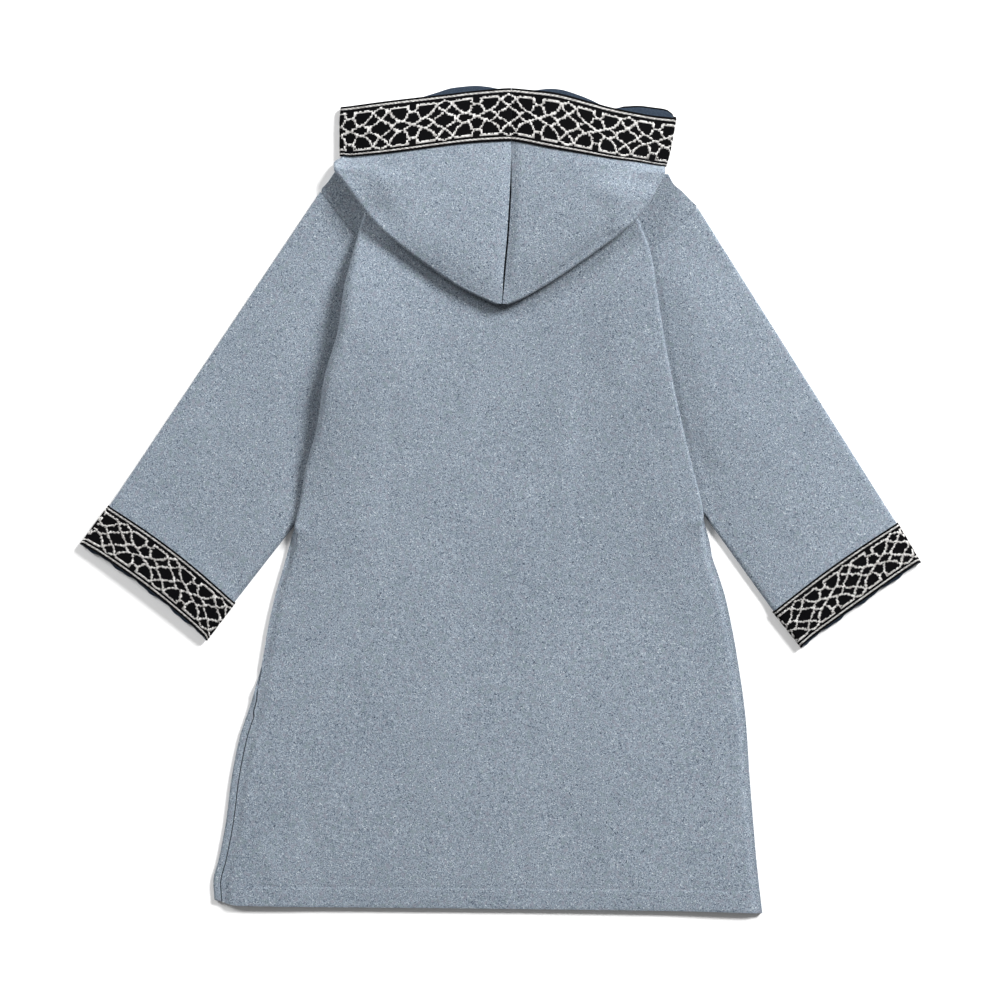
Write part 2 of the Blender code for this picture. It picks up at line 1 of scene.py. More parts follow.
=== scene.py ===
# %% [markdown]
# # A child's hooded robe of felted wool
# The robe lies flat with its back side up. Its sides are folded in over the sleeves, its pointed hood
# is thrown down on the back, and a woven black and silver ribbon runs along the hood and both cuffs.
# Each piece of cloth is a grid of points through the middle of its wall, worked out as whole arrays
# with numpy, and a Solidify modifier gives it its thickness. Lengths are in millimetres until a mesh
# is made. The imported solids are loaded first, because every piece below stands for one of them.

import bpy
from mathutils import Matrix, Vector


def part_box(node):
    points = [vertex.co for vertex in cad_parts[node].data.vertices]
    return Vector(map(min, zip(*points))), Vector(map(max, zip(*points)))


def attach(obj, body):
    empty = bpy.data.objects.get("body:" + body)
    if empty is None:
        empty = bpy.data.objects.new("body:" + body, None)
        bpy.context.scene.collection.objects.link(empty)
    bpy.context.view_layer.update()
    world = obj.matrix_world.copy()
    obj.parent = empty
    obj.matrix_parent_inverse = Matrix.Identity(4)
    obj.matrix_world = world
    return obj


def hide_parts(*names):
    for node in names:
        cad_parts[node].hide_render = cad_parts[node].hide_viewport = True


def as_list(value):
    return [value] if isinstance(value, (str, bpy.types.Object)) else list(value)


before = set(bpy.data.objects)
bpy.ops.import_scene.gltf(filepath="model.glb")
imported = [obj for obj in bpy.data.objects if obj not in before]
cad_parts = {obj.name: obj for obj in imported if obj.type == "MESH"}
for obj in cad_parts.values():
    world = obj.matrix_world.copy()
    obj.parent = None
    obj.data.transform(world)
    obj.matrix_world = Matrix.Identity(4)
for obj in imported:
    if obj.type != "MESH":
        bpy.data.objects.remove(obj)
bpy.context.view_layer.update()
print("solids:", sorted(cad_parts))

# %% Modules and the sizes of the cloth
from math import pi

import bpy
import numpy as np
from mathutils import Vector

MM = 0.001
CLOTH = 2.0            # thickness of the felted wool
RIBBON = 1.0           # thickness of the woven ribbon
RIBBON_WIDTH = 50.0
GAP = 0.3              # between pieces that are sewn together or lie on each other
FOLD = 1.5             # radius of a pressed fold, through the middle of the wall
WRAP_FOLD = 1.2        # the tighter fold of the front panel round the side edge
WRAP = 7.0             # width of the front panel that shows beside the left side seam
WRAP_START = 3.0
LIFT_SIDE = 0.8        # shortest straight stretch in a fold
ARC_STEPS = 8          # steps round half a fold

FLOOR_LEVEL = CLOTH / 2                         # middle of a layer on the floor
LAYER = CLOTH + GAP                             # from one layer to the next
RIBBON_LIFT = CLOTH / 2 + GAP + RIBBON / 2      # from the cloth's middle to its ribbon's
BAND_LEVEL = RIBBON + GAP + CLOTH / 2           # middle of the cloth over a ribbon on the floor
ARC_CHORD = 2 * np.sin(pi / (2 * ARC_STEPS))    # a step round a fold of radius 1
print(f"the wool is {CLOTH} mm thick and the ribbon {RIBBON} mm")

# %% [markdown]
# ## The shape of the body
# On the real robe the back and front panels are two flat cuts. Laid down, the sides of the back fold
# over the sleeves, so a section across the body is a path: in from the armhole seam, round one fold,
# out again, round the next, and across the top. A cloth simulation would fold it too, but not where
# this robe does. Two tables give where the folds lie from hem to shoulder, and smooth curves are
# drawn through their rows.

# %% The left side of the body
# y, how far out lie the edge or armhole seam (edge), the outer fold (fold) and the inner one (inner),
# the degrees that the cloth turns round a fold (turn), the outer fold's radius (lift), the height of
# the back's edge (level), and the width of the front's strip that wraps the edge (wrap)
LEFT = np.array((
    (-386.0, 268.5, 0, 0, 20, 1.5, 3.4, 7.0),
    (-367.5, 269.6, 0, 0, 20, 1.5, 3.4, 7.0),
    (-339.3, 264.4, 0, 0, 20, 1.5, 3.4, 7.0),
    (-301.7, 257.4, 0, 0, 20, 1.5, 3.4, 7.0),
    (-264.1, 252.7, 0, 0, 20, 1.5, 3.4, 7.0),
    (-221.8, 244.2, 0, 0, 20, 1.5, 3.4, 7.0),
    (-207.7, 239.5, 0, 0, 20, 1.5, 3.4, 7.0),
    (-193.6, 234.8, 0, 0, 20, 1.5, 3.4, 6.3),
    (-179.5, 230.6, 0, 0, 20, 1.5, 3.4, 5.0),
    (-165.0, 226.6, 0, 0, 20, 1.5, 3.4, 3.0),
    (-151.3, 223.1, 0, 0, 20, 1.5, 3.4, 0.0),
    (-123.1, 218.4, 0, 0, 22, 1.5, 3.4, 0.0),
    (-94.9, 212.3, 0, 0, 27, 1.5, 3.4, 0.0),
    (-71.4, 205.7, 0, 0, 35, 1.5, 3.4, 0.0),
    (-53.6, 200.5, 0, 0, 46, 1.5, 3.4, 0.0),
    (-43.2, 197.7, 0, 0, 60, 1.5, 3.5, 0.0),
    (-33.8, 195.3, 0, 0, 90, 1.2, 3.8, 0.0),
    (-25.4, 192.0, 193.0, 188.2, 180, 1.5, 4.0, 0.0),
    (-15.0, 187.5, 190.4, 184.3, 180, 1.5, 4.0, 0.0),
    (-2.8, 182.0, 187.5, 179.0, 180, 1.6, 4.0, 0.0),
    (22.6, 173.2, 183.6, 170.4, 180, 3.0, 4.0, 0.0),
    (68.6, 156.3, 171.4, 153.5, 180, 6.6, 4.0, 0.0),
    (111.9, 146.9, 164.8, 144.0, 180, 9.0, 4.0, 0.0),
    (158.9, 132.8, 151.6, 130.0, 180, 9.6, 4.0, 0.0),
    (198.3, 127.2, 146.0, 124.4, 180, 8.4, 4.0, 0.0),
    (228.4, 124.4, 138.5, 120.5, 180, 5.2, 4.0, 0.0),
    (246.3, 133.8, 133.8, 117.0, 180, 2.8, 4.0, 0.0),
    (257.6, 143.2, 130.5, 114.0, 180, 1.8, 4.0, 0.0),
    (268.8, 152.6, 127.2, 112.5, 180, 1.6, 4.0, 0.0),
    (273.5, 156.4, 126.0, 113.0, 150, 1.5, 4.0, 0.0),
    (281.0, 162.5, 124.5, 114.0, 110, 1.5, 4.0, 0.0),
    (288.6, 168.5, 122.5, 115.0, 60, 1.5, 4.0, 0.0),
    (297.0, 162.0, 121.0, 116.0, 20, 1.5, 3.7, 0.0),
    (307.4, 154.4, 119.0, 117.0, 5, 1.5, 3.4, 0.0),
))
print("rows of the left side:", len(LEFT))

# %% The right side of the body, in the same columns
RIGHT = np.array((
    (-386.0, 246.0, 0, 0, 20, 1.5, 3.4, 0.0),
    (-339.3, 240.5, 0, 0, 20, 1.5, 3.4, 0.0),
    (-301.7, 237.3, 0, 0, 20, 1.5, 3.4, 0.0),
    (-264.1, 234.3, 0, 0, 20, 1.5, 3.4, 0.0),
    (-207.7, 230.5, 0, 0, 20, 1.5, 3.4, 0.0),
    (-151.3, 222.8, 0, 0, 20, 1.5, 3.4, 0.0),
    (-94.9, 211.9, 0, 0, 26, 1.5, 3.4, 0.0),
    (-71.4, 204.8, 0, 0, 32, 1.5, 3.4, 0.0),
    (-53.6, 198.8, 0, 0, 38, 1.5, 3.4, 0.0),
    (-43.2, 197.1, 0, 0, 46, 1.5, 3.4, 0.0),
    (-33.8, 194.8, 0, 0, 60, 1.5, 3.5, 0.0),
    (-25.4, 192.4, 0, 0, 90, 1.2, 3.8, 0.0),
    (-15.0, 189.6, 190.6, 185.8, 180, 1.5, 4.0, 0.0),
    (-2.8, 184.0, 188.7, 181.2, 180, 1.5, 4.0, 0.0),
    (22.6, 173.6, 182.1, 170.8, 180, 1.5, 4.0, 0.0),
    (68.6, 160.5, 170.8, 157.7, 180, 2.0, 4.0, 0.0),
    (111.9, 148.2, 161.4, 145.4, 180, 2.4, 4.0, 0.0),
    (158.9, 138.8, 152.5, 136.0, 180, 2.6, 4.0, 0.0),
    (198.3, 135.1, 146.4, 132.3, 180, 2.4, 4.0, 0.0),
    (228.4, 139.8, 141.7, 126.5, 180, 1.8, 4.0, 0.0),
    (246.3, 156.7, 135.5, 121.0, 180, 1.8, 4.0, 0.0),
    (257.6, 169.5, 131.4, 117.5, 180, 1.7, 4.0, 0.0),
    (268.8, 180.2, 129.0, 116.0, 150, 1.6, 4.0, 0.0),
    (273.5, 184.9, 128.0, 116.5, 110, 1.5, 4.0, 0.0),
    (281.0, 178.0, 127.0, 117.0, 60, 1.5, 3.9, 0.0),
    (288.6, 171.0, 126.0, 118.0, 30, 1.5, 3.8, 0.0),
    (297.0, 163.0, 125.0, 119.0, 15, 1.5, 3.6, 0.0),
    (307.4, 158.0, 124.0, 120.0, 5, 1.5, 3.4, 0.0),
))
COLUMNS = ("edge", "fold", "inner", "turn", "lift", "level", "wrap")
SIDES = {"left": (-1, LEFT), "right": (1, RIGHT)}    # which way is out, and the table
SHOULDER_Y = {"left": 288.6, "right": 273.5}
UNDERARM_Y = {"left": -25.4, "right": -15.0}
BOTTOM, TOP = LEFT[0, 0], LEFT[-1, 0]
print("rows of the right side:", len(RIGHT))

# %% The middle line, the hem, and the robe's place in the frame
# height of the back panel along its middle line: y and height
MIDDLE = np.array(((-386, 3.7), (-350, 4.8), (-200, 5.2), (0, 5.2), (150, 5.6), (250, 6.0),
                   (307.4, 3.6)))
# the hem line: x and y
HEM = np.array(((-268.5, -376.0), (-245, -381.6), (0, -384.5), (160, -386.5), (246, -388.7)))

# The tables count from the robe's middle line, and the frame's origin is at the centre of its box
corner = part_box("front")[0]
SHIFT = np.array((corner.x / MM + LEFT[:, 1].max(), corner.y / MM - HEM[:, 1].min(), 0.0))
print("the frame's origin is off the middle line by", np.round(SHIFT, 2), "mm")


# %% Soft steps, bells and unit vectors
def smooth(value):
    """Rises softly from 0 to 1 as the value goes from 0 to 1: 3 v squared less 2 v cubed."""
    value = np.clip(value, 0.0, 1.0)
    return value * value * (3 - 2 * value)


def bell(value):
    """1 at 0 and falling softly to both sides: e to the power of minus v squared."""
    return np.exp(-value ** 2)


def unit(vector):
    """The vectors at length 1."""
    return vector / np.linalg.norm(vector, axis=-1, keepdims=True)


print("a bell is", round(float(bell(1.0)), 2), "at 1, and a soft step", smooth(0.25), "at a quarter")


# %% Curves through a table's rows
def curve(x, knots, values):
    """A smooth curve through the knots, with no overshoot: between two knots it is a cubic, and at each
    knot its slope is the harmonic mean of the slopes on both sides, or 0 where they differ in sign."""
    step = np.diff(knots)
    slope = np.diff(values) / step
    before, after = slope[:-1], slope[1:]
    total = before + after
    total[total == 0] = 1.0
    mean = np.where(before * after > 0, 2 * before * after / total, 0.0)
    tangent = np.concatenate((slope[:1], mean, slope[-1:]))
    k = np.clip(np.searchsorted(knots, x, side="right") - 1, 0, len(knots) - 2)
    t = np.clip((x - knots[k]) / step[k], 0.0, 1.0)
    rest = 1 - t
    ends = values[k] * rest ** 2 * (1 + 2 * t) + values[k + 1] * t ** 2 * (3 - 2 * t)
    return ends + step[k] * t * rest * (tangent[k] * rest - tangent[k + 1] * t)


def section(side, y):
    """The named columns of one side of the body at the heights y. Where the side isn't folded over,
    the two folds keep the place that they have at the underarm."""
    table = SIDES[side][1]
    made = {}
    for k, name in enumerate(COLUMNS):
        rows = table[table[:, k + 1] > 0] if name in ("fold", "inner") else table
        made[name] = curve(np.maximum(y, rows[0, 0]), rows[:, 0], rows[:, k + 1])
    return made


underarm = section("left", np.array([UNDERARM_Y["left"]]))
print("the left underarm lies", underarm["edge"].round(1), "mm from the middle line")

# %% [markdown]
# ## The folded sides
# Beside the armholes the robe is a stack: the front panel and the sleeve's seam at the bottom, the
# back's edge sewn to them, and the back folded out over both. A flat mesh could be bent by a modifier,
# but these folds change all the way up. So each row of the grid walks its section in short steps: a
# fold is eight steps that turn by equal angles, and the next fold turns back by the same amount.


# %% Paths of a section
def walk(start, steps, headings):
    """Paths reached from start points (distance out, height) by steps of given lengths and headings,
    one path for each row: out is the start less the running sum of step times the heading's cosine,
    and up is the start plus the running sum of step times its sine."""
    out = start[0][:, None] - np.cumsum(steps * np.cos(headings), axis=1)
    up = start[1][:, None] + np.cumsum(steps * np.sin(headings), axis=1)
    return (np.column_stack((start[0], out)), np.column_stack((start[1], up)))


out, up = walk((np.zeros(1), np.zeros(1)), np.ones((1, 2)), np.array([[0.0, pi / 2]]))
print("a step in and a step up from 0, 0 lead to", out[0, -1].round(3), "and", up[0, -1].round(3))

# %% Sides of the front panel
SEAM_DIP = 0.9         # how far the cloth dips into a seam
SEAM_WIDTH = 1.8       # and how far from it the dip is felt
SEAM_EASE = 2.0        # an armhole seam opens and closes over this length
SIDE_GROOVE = 0.6      # how far the left side seam stands open
ARMHOLE_OPEN = 0.35    # each side of an armhole seam rolls back this much
EDGE_RUN = 1.0         # last stretch of an edge that isn't wrapped
WRAP_RUN = 1.5         # how much longer it is where the wrap is complete
ARC_SHARES = (np.arange(ARC_STEPS) + 0.5) / ARC_STEPS    # share of a turn at each step's heading


def on_armhole(side, y):
    """1 along the armhole seam, and 0 below the underarm and above the shoulder, with soft ends."""
    return (smooth((y - UNDERARM_Y[side]) / SEAM_EASE + 1)
            * smooth((SHOULDER_Y[side] - y) / SEAM_EASE + 1))


def front_side(side, y):
    """Sections of one side of the front panel, from its edge down round the fold to the floor, and
    how far the cloth turns there: half a turn where the strip wraps the side edge, and else 0."""
    row = section(side, y)
    turn = pi * smooth((row["wrap"] - WRAP_START) / (WRAP - WRAP_START))
    closed = row["wrap"] - GAP - CLOTH / 2 - WRAP_FOLD
    run = np.where(turn > pi - 0.01, closed, EDGE_RUN + WRAP_RUN * row["wrap"] / WRAP)
    arc = np.full((len(y), ARC_STEPS), ARC_CHORD * WRAP_FOLD)
    steps = np.column_stack((arc, run / 2, run / 2))
    headings = np.column_stack((pi - np.outer(turn, ARC_SHARES), pi - turn, pi - turn))
    out, up = walk((0 * y, 0 * y + FLOOR_LEVEL), steps, headings)
    reach = row["edge"] - GAP / 2 * on_armhole(side, y) - CLOTH / 2 * smooth(turn / (pi / 2))
    out = out + (reach - out.max(axis=1))[:, None]
    return out[:, ::-1], up[:, ::-1], turn


def strip_cover(side, y, row):
    """How far the front panel's wrapped strip reaches over the side edge, with its gap to the back."""
    out, _, turn = front_side(side, y)
    closed = row["edge"] - out[:, 0] + CLOTH / 2 * np.sin(turn) + GAP + SIDE_GROOVE
    return np.where(turn > pi / 2, closed, (CLOTH + GAP) * smooth(row["wrap"] / WRAP_START))


at_hem = np.array([BOTTOM])
covered = strip_cover("left", at_hem, section("left", at_hem))
print("at the hem the front and its seam take", covered.round(1), "mm of the left edge")

# %% Sides of the back panel
FLAT_RUN = 1.3         # first stretch of a side that isn't folded over
FOLD_OPENS = 8.4       # below the underarm the folds open over this length
NEAR_STEP = 1.8        # longest step beside the seam, where the dip needs fine ones
CLOSING = 6            # how late the stretch between the folds grows as they close


def back_side(side, y):
    """Sections of one side of the back panel, from its edge through both folds to the top layer.
    The path turns by `turn` round the inner fold and back by the same angle round the outer fold."""
    row = section(side, y)
    turn = np.radians(row["turn"])
    seam = on_armhole(side, y)
    start = row["edge"] - (GAP / 2 + ARMHOLE_OPEN) * seam - strip_cover(side, y, row)
    folded = np.interp(y, (UNDERARM_Y[side] - FOLD_OPENS, UNDERARM_Y[side]), (0, 1))
    run_in = FLAT_RUN + folded * (start - row["inner"] - FOLD - FLAT_RUN)
    closed = (row["fold"] - CLOTH / 2 - row["lift"]) - (row["inner"] + FOLD)
    run_out = LIFT_SIDE + folded * (np.maximum(LIFT_SIDE, closed * (turn / pi) ** CLOSING) - LIFT_SIDE)
    near = np.minimum(NEAR_STEP, run_in / 4)
    rest = run_in / 2 - near
    straight = 0 * y
    arc = np.full((len(y), ARC_STEPS), ARC_CHORD)
    steps = np.column_stack((near, near, rest, rest, arc * FOLD, run_out / 2, run_out / 2,
                             arc * row["lift"][:, None]))
    headings = np.column_stack((straight, straight, straight, straight, np.outer(turn, ARC_SHARES),
                                turn, turn, np.outer(turn, ARC_SHARES[::-1])))
    out, up = walk((start, row["level"]), steps, headings)
    up[:, :3] -= SEAM_DIP * seam[:, None] * bell((start[:, None] - out[:, :3]) / SEAM_WIDTH)
    return out, up


points_across = back_side("left", at_hem)[0].shape[1]
print("points across one folded side:", points_across)

# %% Tops of the folds
CREST_Y = np.linspace(BOTTOM, TOP, 350)
EVEN_REACH = 45        # rows of CREST_Y over which the height away from a fold is evened out

# where the top layer starts beside each fold: distance out and height at the heights CREST_Y
CRESTS = {side: [line[:, -1] for line in back_side(side, CREST_Y)] for side in SIDES}
even = np.hanning(2 * EVEN_REACH + 1)[1:-1]
EVEN = {side: [np.convolve(np.pad(line, EVEN_REACH - 1, mode="edge"), even / even.sum(), mode="valid")
               for line in lines] for side, lines in CRESTS.items()}
print("the left fold is highest at", round(float(CRESTS["left"][1].max()), 1), "mm")

# %% [markdown]
# ## Creases
# Felted wool is stiff, so the body shows few creases, and these are broad and shallow. Cloth
# simulation would wrinkle it evenly all over. Here each crease is a soft ridge or trough, listed one
# by one: a bell curve across its width and another along its length, each of its own size and lean.

# %% The creases of the back panel
# x, y, half length, half width, lean in degrees, height (below 0 for a trough)
RIDGES = np.array((
    (-122, -6, 60, 16, 4, 1.0),
    (61, 65, 130, 14, 0, 0.9),
    (-160, -152, 40, 12, 40, 1.2),
    (141, 140, 22, 9, -35, 1.0),
    (165, -60, 70, 18, -12, 0.9),
    (-60, -250, 90, 26, 6, 0.8),
    (90, -280, 80, 24, -8, 0.8),
))
CREASES = np.array((
    (-104, 30, 85, 7, 3, -0.7),
    (-88, 120, 60, 12, -4, 0.5),
    (74, 60, 120, 8, 1, -0.6),
    (112, 110, 95, 11, -3, 0.5),
    (-12, -60, 70, 22, 10, -0.5),
    (38, -170, 60, 15, -14, 0.4),
    (-148, -138, 34, 8, 52, -0.8),
    (-196, -186, 40, 12, 30, 0.6),
    (134, 146, 16, 4, -62, -0.7),
    (186, -150, 60, 12, 10, -0.6),
    (204, -250, 55, 9, 3, 0.6),
    (-182, -300, 60, 11, -9, -0.7),
    (-215, -345, 30, 8, -16, 0.7),
    (20, -350, 34, 10, 5, -0.4),
    (130, -352, 30, 13, -6, 0.5),
    (-30, 150, 60, 14, 6, 0.4),
    (150, 30, 60, 7, -9, -0.5),
    (-150, 90, 70, 8, 7, 0.5),
))
print("creases on the back:", len(RIDGES) + len(CREASES))

# %% Height of the back panel
SAG_WIDTH = 66.0       # how fast the back panel sinks away from its folds
CREST_REACH = 16.0     # how far a fold's own height is felt
RIDGE_FADE = 30.0      # creases fade out over this distance from the folds


def ridge_height(x, y, ridges):
    """Sum of soft ridges: each is its height times a bell of along / half length and a bell of
    across / half width, where along and across are measured from its middle on its leaning line."""
    total = np.zeros(np.broadcast(x, y).shape)
    for ridge_x, ridge_y, half_length, half_width, lean, height in ridges:
        cosine, sine = np.cos(np.radians(lean)), np.sin(np.radians(lean))
        along = (y - ridge_y) * cosine + (x - ridge_x) * sine
        across = (x - ridge_x) * cosine - (y - ridge_y) * sine
        total = total + height * bell(along / half_length) * bell(across / half_width)
    return total


def inside_folds(x, y):
    """How far a point of the top layer lies inside the nearer fold, and 0 beyond it."""
    left, right = (np.interp(y, CREST_Y, EVEN[side][0]) - sign * x for side, (sign, _) in SIDES.items())
    return np.maximum(np.minimum(left, right), 0.0)


def back_height(x, y):
    """Height of the back panel's top layer: its middle line, raised towards the folds, and ridges.
    Right beside a fold it starts at the fold's own height, and farther in it follows the even one."""
    middle = curve(y, MIDDLE[:, 0], MIDDLE[:, 1])
    height = middle + ridge_height(x, y, RIDGES) * smooth(inside_folds(x, y) / RIDGE_FADE)
    for side, (sign, _) in SIDES.items():
        out, top = (np.interp(y, CREST_Y, values) for values in CRESTS[side])
        even_out, even_top = (np.interp(y, CREST_Y, values) for values in EVEN[side])
        height = height + (even_top - middle) * bell(np.maximum(even_out - sign * x, 0) / SAG_WIDTH)
        height = height + (top - even_top) * bell(np.maximum(out - sign * x, 0) / CREST_REACH)
    return height


print("height in the middle of the back:", round(float(back_height(0.0, 0.0)), 1), "mm")

# %% The hem line and the slope of the shoulders
HEM_REACH = 60.0       # how far up the rows bend with the hem
TOP_SLANT = 3.4        # the right shoulder ends this much lower than the left
SLANT_WIDTH = 150.0    # over this distance from the middle line
NECK_START = 285.0     # height at which the slant starts


def hem_shift(x, y):
    """How far a point near the hem moves so that the last row lies on the hem line."""
    near = smooth(1 - (y - BOTTOM) / HEM_REACH)
    return near * (curve(x, HEM[:, 0], HEM[:, 1]) - BOTTOM)


def top_share(y):
    """0 up to the neck's start and 1 at the shoulders' top."""
    return smooth((y - NECK_START) / (TOP - NECK_START))


def top_shift(x, y):
    """How far the top rows move down, more to the right."""
    return -top_share(y) * TOP_SLANT * smooth(x / SLANT_WIDTH)


print("the hem rises", round(float(hem_shift(-LEFT[0, 1], BOTTOM)), 1), "mm at its left end")

# %% [markdown]
# ## The back panel
# The hem is turned up 20 mm and stitched, so the cloth is a little thicker below the stitches and
# dips where they pull it in. A bump in the material could draw that line. As part of the height's
# formula it is also in the mesh, and rows of the grid lie closer together there.

# %% Relief of the hem
HEM_TURN = 19.5        # the hem's stitches lie this far above its edge
HEM_SWELL = 0.2        # how much the turned hem stands proud
SWELL_END = 3.0        # the turned cloth ends over this width
STITCH_DIP = 0.16      # depth of the dip along the stitches
STITCH_WIDTH = 1.4
HEM_FADE = 6.0         # the relief fades out over this distance from the side folds


def fine_relief(x, y):
    """What the finer grid shows beside the main ridges: small creases, the swell of the turned hem,
    and the dip along its stitches."""
    above = y - BOTTOM - HEM_TURN
    hem = HEM_SWELL * smooth(0.5 - above / SWELL_END) - STITCH_DIP * bell(above / STITCH_WIDTH)
    inside = inside_folds(x, y)
    return ridge_height(x, y, CREASES) * smooth(inside / RIDGE_FADE) + hem * smooth(inside / HEM_FADE)


print("dip along the hem's stitches:", STITCH_DIP, "mm")

# %% Points of the back panel
BACK_ROWS = 226
STITCH_ROWS = np.array((-3.2, -2.1, -1.4, -0.7, 0, 0.7, 1.4, 2.1, 3.2))    # rows beside the stitches
ROW_CLEAR = 0.9        # other rows stay this far from them
MIDDLE_COLUMNS = 162
CLOSER = 0.05          # how much closer the columns lie beside the folds


def back_rows():
    """Heights of the rows: even spacing, with extra rows beside the hem's stitches."""
    extra = BOTTOM + HEM_TURN + STITCH_ROWS
    even = np.linspace(BOTTOM, TOP, BACK_ROWS - len(extra))
    keep = np.min(np.abs(even[:, None] - extra), axis=1) > ROW_CLEAR
    return np.sort(np.concatenate((even[keep], extra)))


def panel_grid(y, left, right, x, z):
    """A panel's points: left side, middle and right side of each row, moved to the hem and shoulders."""
    line_x = np.column_stack((-left[0], x, right[0][:, ::-1]))
    line_z = np.column_stack((left[1], z, right[1][:, ::-1]))
    y = y[:, None]
    line_y = y + hem_shift(line_x, y) + top_shift(line_x, y)
    return np.stack((line_x, line_y, line_z), axis=-1)


def back_grid():
    """Rows of the back panel, with the top layer's own height between its folds."""
    y = back_rows()
    left, right = back_side("left", y), back_side("right", y)
    share = np.linspace(0, 1, MIDDLE_COLUMNS)[1:-1]
    share = share - CLOSER * np.sin(2 * pi * share)
    x = -left[0][:, -1:] + share * (right[0][:, -1:] + left[0][:, -1:])
    heights = np.broadcast_to(y[:, None], x.shape)
    return panel_grid(y, left, right, x, back_height(x, heights) + fine_relief(x, heights))


back_points = back_grid()
print("back panel grid:", back_points.shape)

# %% [markdown]
# ## The front panel
# The front lies under everything else, flat on the floor, and only a narrow strip of it shows where
# it wraps the left side edge. A flat plane would do for most of it. The same walk as the back's makes
# the flat part and the wrapped strip in one sheet, and keeps its edges on the back's.

# %% Points of the front panel
FRONT_ROWS = 150
FRONT_COLUMNS = 60
NECK_STRIP = 4.5       # the front panel reaches this much higher between the shoulders
NECK_HALF = 95.0       # half the width of that strip, before it slopes down over as much again


def front_grid():
    """Rows of the front panel, flat on the floor but for the strip that wraps the left edge."""
    y = np.linspace(BOTTOM, TOP, FRONT_ROWS)
    left, right = front_side("left", y), front_side("right", y)
    share = np.linspace(0, 1, FRONT_COLUMNS)[1:-1]
    x = -left[0][:, -1:] + share * (right[0][:, -1:] + left[0][:, -1:])
    grid = panel_grid(y, left, right, x, np.full_like(x, FLOOR_LEVEL))
    grid[..., 1] += NECK_STRIP * top_share(y)[:, None] * smooth(2 - np.abs(grid[..., 0]) / NECK_HALF)
    return grid


front_points = front_grid()
print("front panel grid:", front_points.shape)

# %% [markdown]
# ## The sleeves
# A sleeve is a tube pressed flat. It could start as a round tube that is scaled down, but its folds
# have to lie at given places. So each ring of points runs over the upper layer from the shoulder fold
# to the underarm, round one fold, back along the layer on the floor, and round the other fold. The
# rings go from the armhole seam to the cuff in straight lines, as the cut of the cloth does.

# %% Lines across a sleeve
# two corners of the line where the ribbon starts and of the cuff's edge, and how far these lines bow
SLEEVES = {
    "left": {"band": ((-366.9, -6.6), (-249.4, -96.8)), "cuff": ((-392.2, -40.9), (-274.8, -130.4)),
             "band_bow": 4.0, "cuff_bow": 3.4},
    "right": {"band": ((372.0, -22.6), (256.3, -105.3)), "cuff": ((392.7, -58.0), (281.8, -136.9)),
              "band_bow": 2.6, "cuff_bow": 0.5},
}
UNDERARM_EASE = 1.3    # the sleeve's seam keeps this much off the body's at the underarm
UNDERARM_REACH = 16.0  # and lets go of it over this distance above
SLEEVE_COLUMNS = 64
SLEEVE_ROWS = 120
CUFF_ROWS = 24
SLEEVE_SHARES = np.linspace(0, 1, SLEEVE_COLUMNS)    # of the way from shoulder to underarm


def armhole_line(side):
    """Points of the armhole seam on the sleeve's side, evenly spaced from shoulder to underarm."""
    sign = SIDES[side][0]
    heights = np.linspace(SHOULDER_Y[side], UNDERARM_Y[side], 200)
    ease = UNDERARM_EASE * smooth(1 - (heights - heights[-1]) / UNDERARM_REACH)
    edge = section(side, heights)["edge"] + GAP / 2 + ARMHOLE_OPEN + ease
    line = np.column_stack((sign * edge, heights))
    length = np.append(0.0, np.cumsum(np.linalg.norm(np.diff(line, axis=0), axis=1)))
    return np.column_stack([np.interp(SLEEVE_SHARES * length[-1], length, line[:, k]) for k in (0, 1)])


def bowed_line(ends, bow, away):
    """Evenly spaced points between two corners, bowed away from the cuff by a sine."""
    first, last = np.array(ends)
    shares = SLEEVE_SHARES[:, None]
    return first + shares * (last - first) + away * bow * np.sin(pi * shares)


armhole_length = np.linalg.norm(np.diff(armhole_line("left"), axis=0), axis=1).sum()
print("the left armhole is", round(float(armhole_length)), "mm from shoulder to underarm")


# %% The sleeve's lines from armhole to cuff
def sleeve_lines(side):
    """Lines across a sleeve in plan, the place of each (0 at the armhole, 1 where the ribbon starts
    and 2 at the cuff's edge), and the direction away from the cuff."""
    shape = SLEEVES[side]
    away = unit(np.array(shape["band"][0]) - np.array(shape["cuff"][0]))
    armhole = armhole_line(side)
    band = bowed_line(shape["band"], shape["band_bow"], away)
    cuff = bowed_line(shape["cuff"], shape["cuff_bow"], away)
    along = np.linspace(0, 1, SLEEVE_ROWS)[:, None]
    past = np.linspace(0, 1, CUFF_ROWS + 1)[1:, None]
    lines = np.concatenate((armhole + (band - armhole) * along[..., None],
                            band + (cuff - band) * past[..., None]))
    return lines, np.concatenate((along, 1 + past)), away


print("lines across a sleeve:", len(sleeve_lines("left")[0]))

# %% Heights of a sleeve's layers
SLEEVE_PUFF = 2.4      # how much the middle of a sleeve stands above its edges
PUFF_START, PUFF_RISE = 20.0, 60.0    # the puff starts this far from the seam, and grows this long
ARCH_POWER = 0.7       # below 1, so that the upper layer is flat in the middle and steep at the folds
RIBBON_RISE = 1 / 9    # last share of the sleeve in which it rises on to the ribbon below it
SEAM_CLEAR = 25.0      # over this distance from the seam a mound comes up
# Beside the body's fold a sleeve rises from its hidden seam to a mound: its height, and its share of
# that height at places from the underarm to the shoulder
MOUNDS = {"left": (0.8, ((-20, 20, 110, 215, 262), (0, 0.45, 1, 1, 0))),
          "right": (2.5, ((-10, 30, 110, 190, 235), (0, 0.4, 1, 1, 0)))}
MOUND_RISE = 34.0      # distance from the body's fold to the mound's top
MOUND_REACH = 46.0     # and how far it is felt beyond
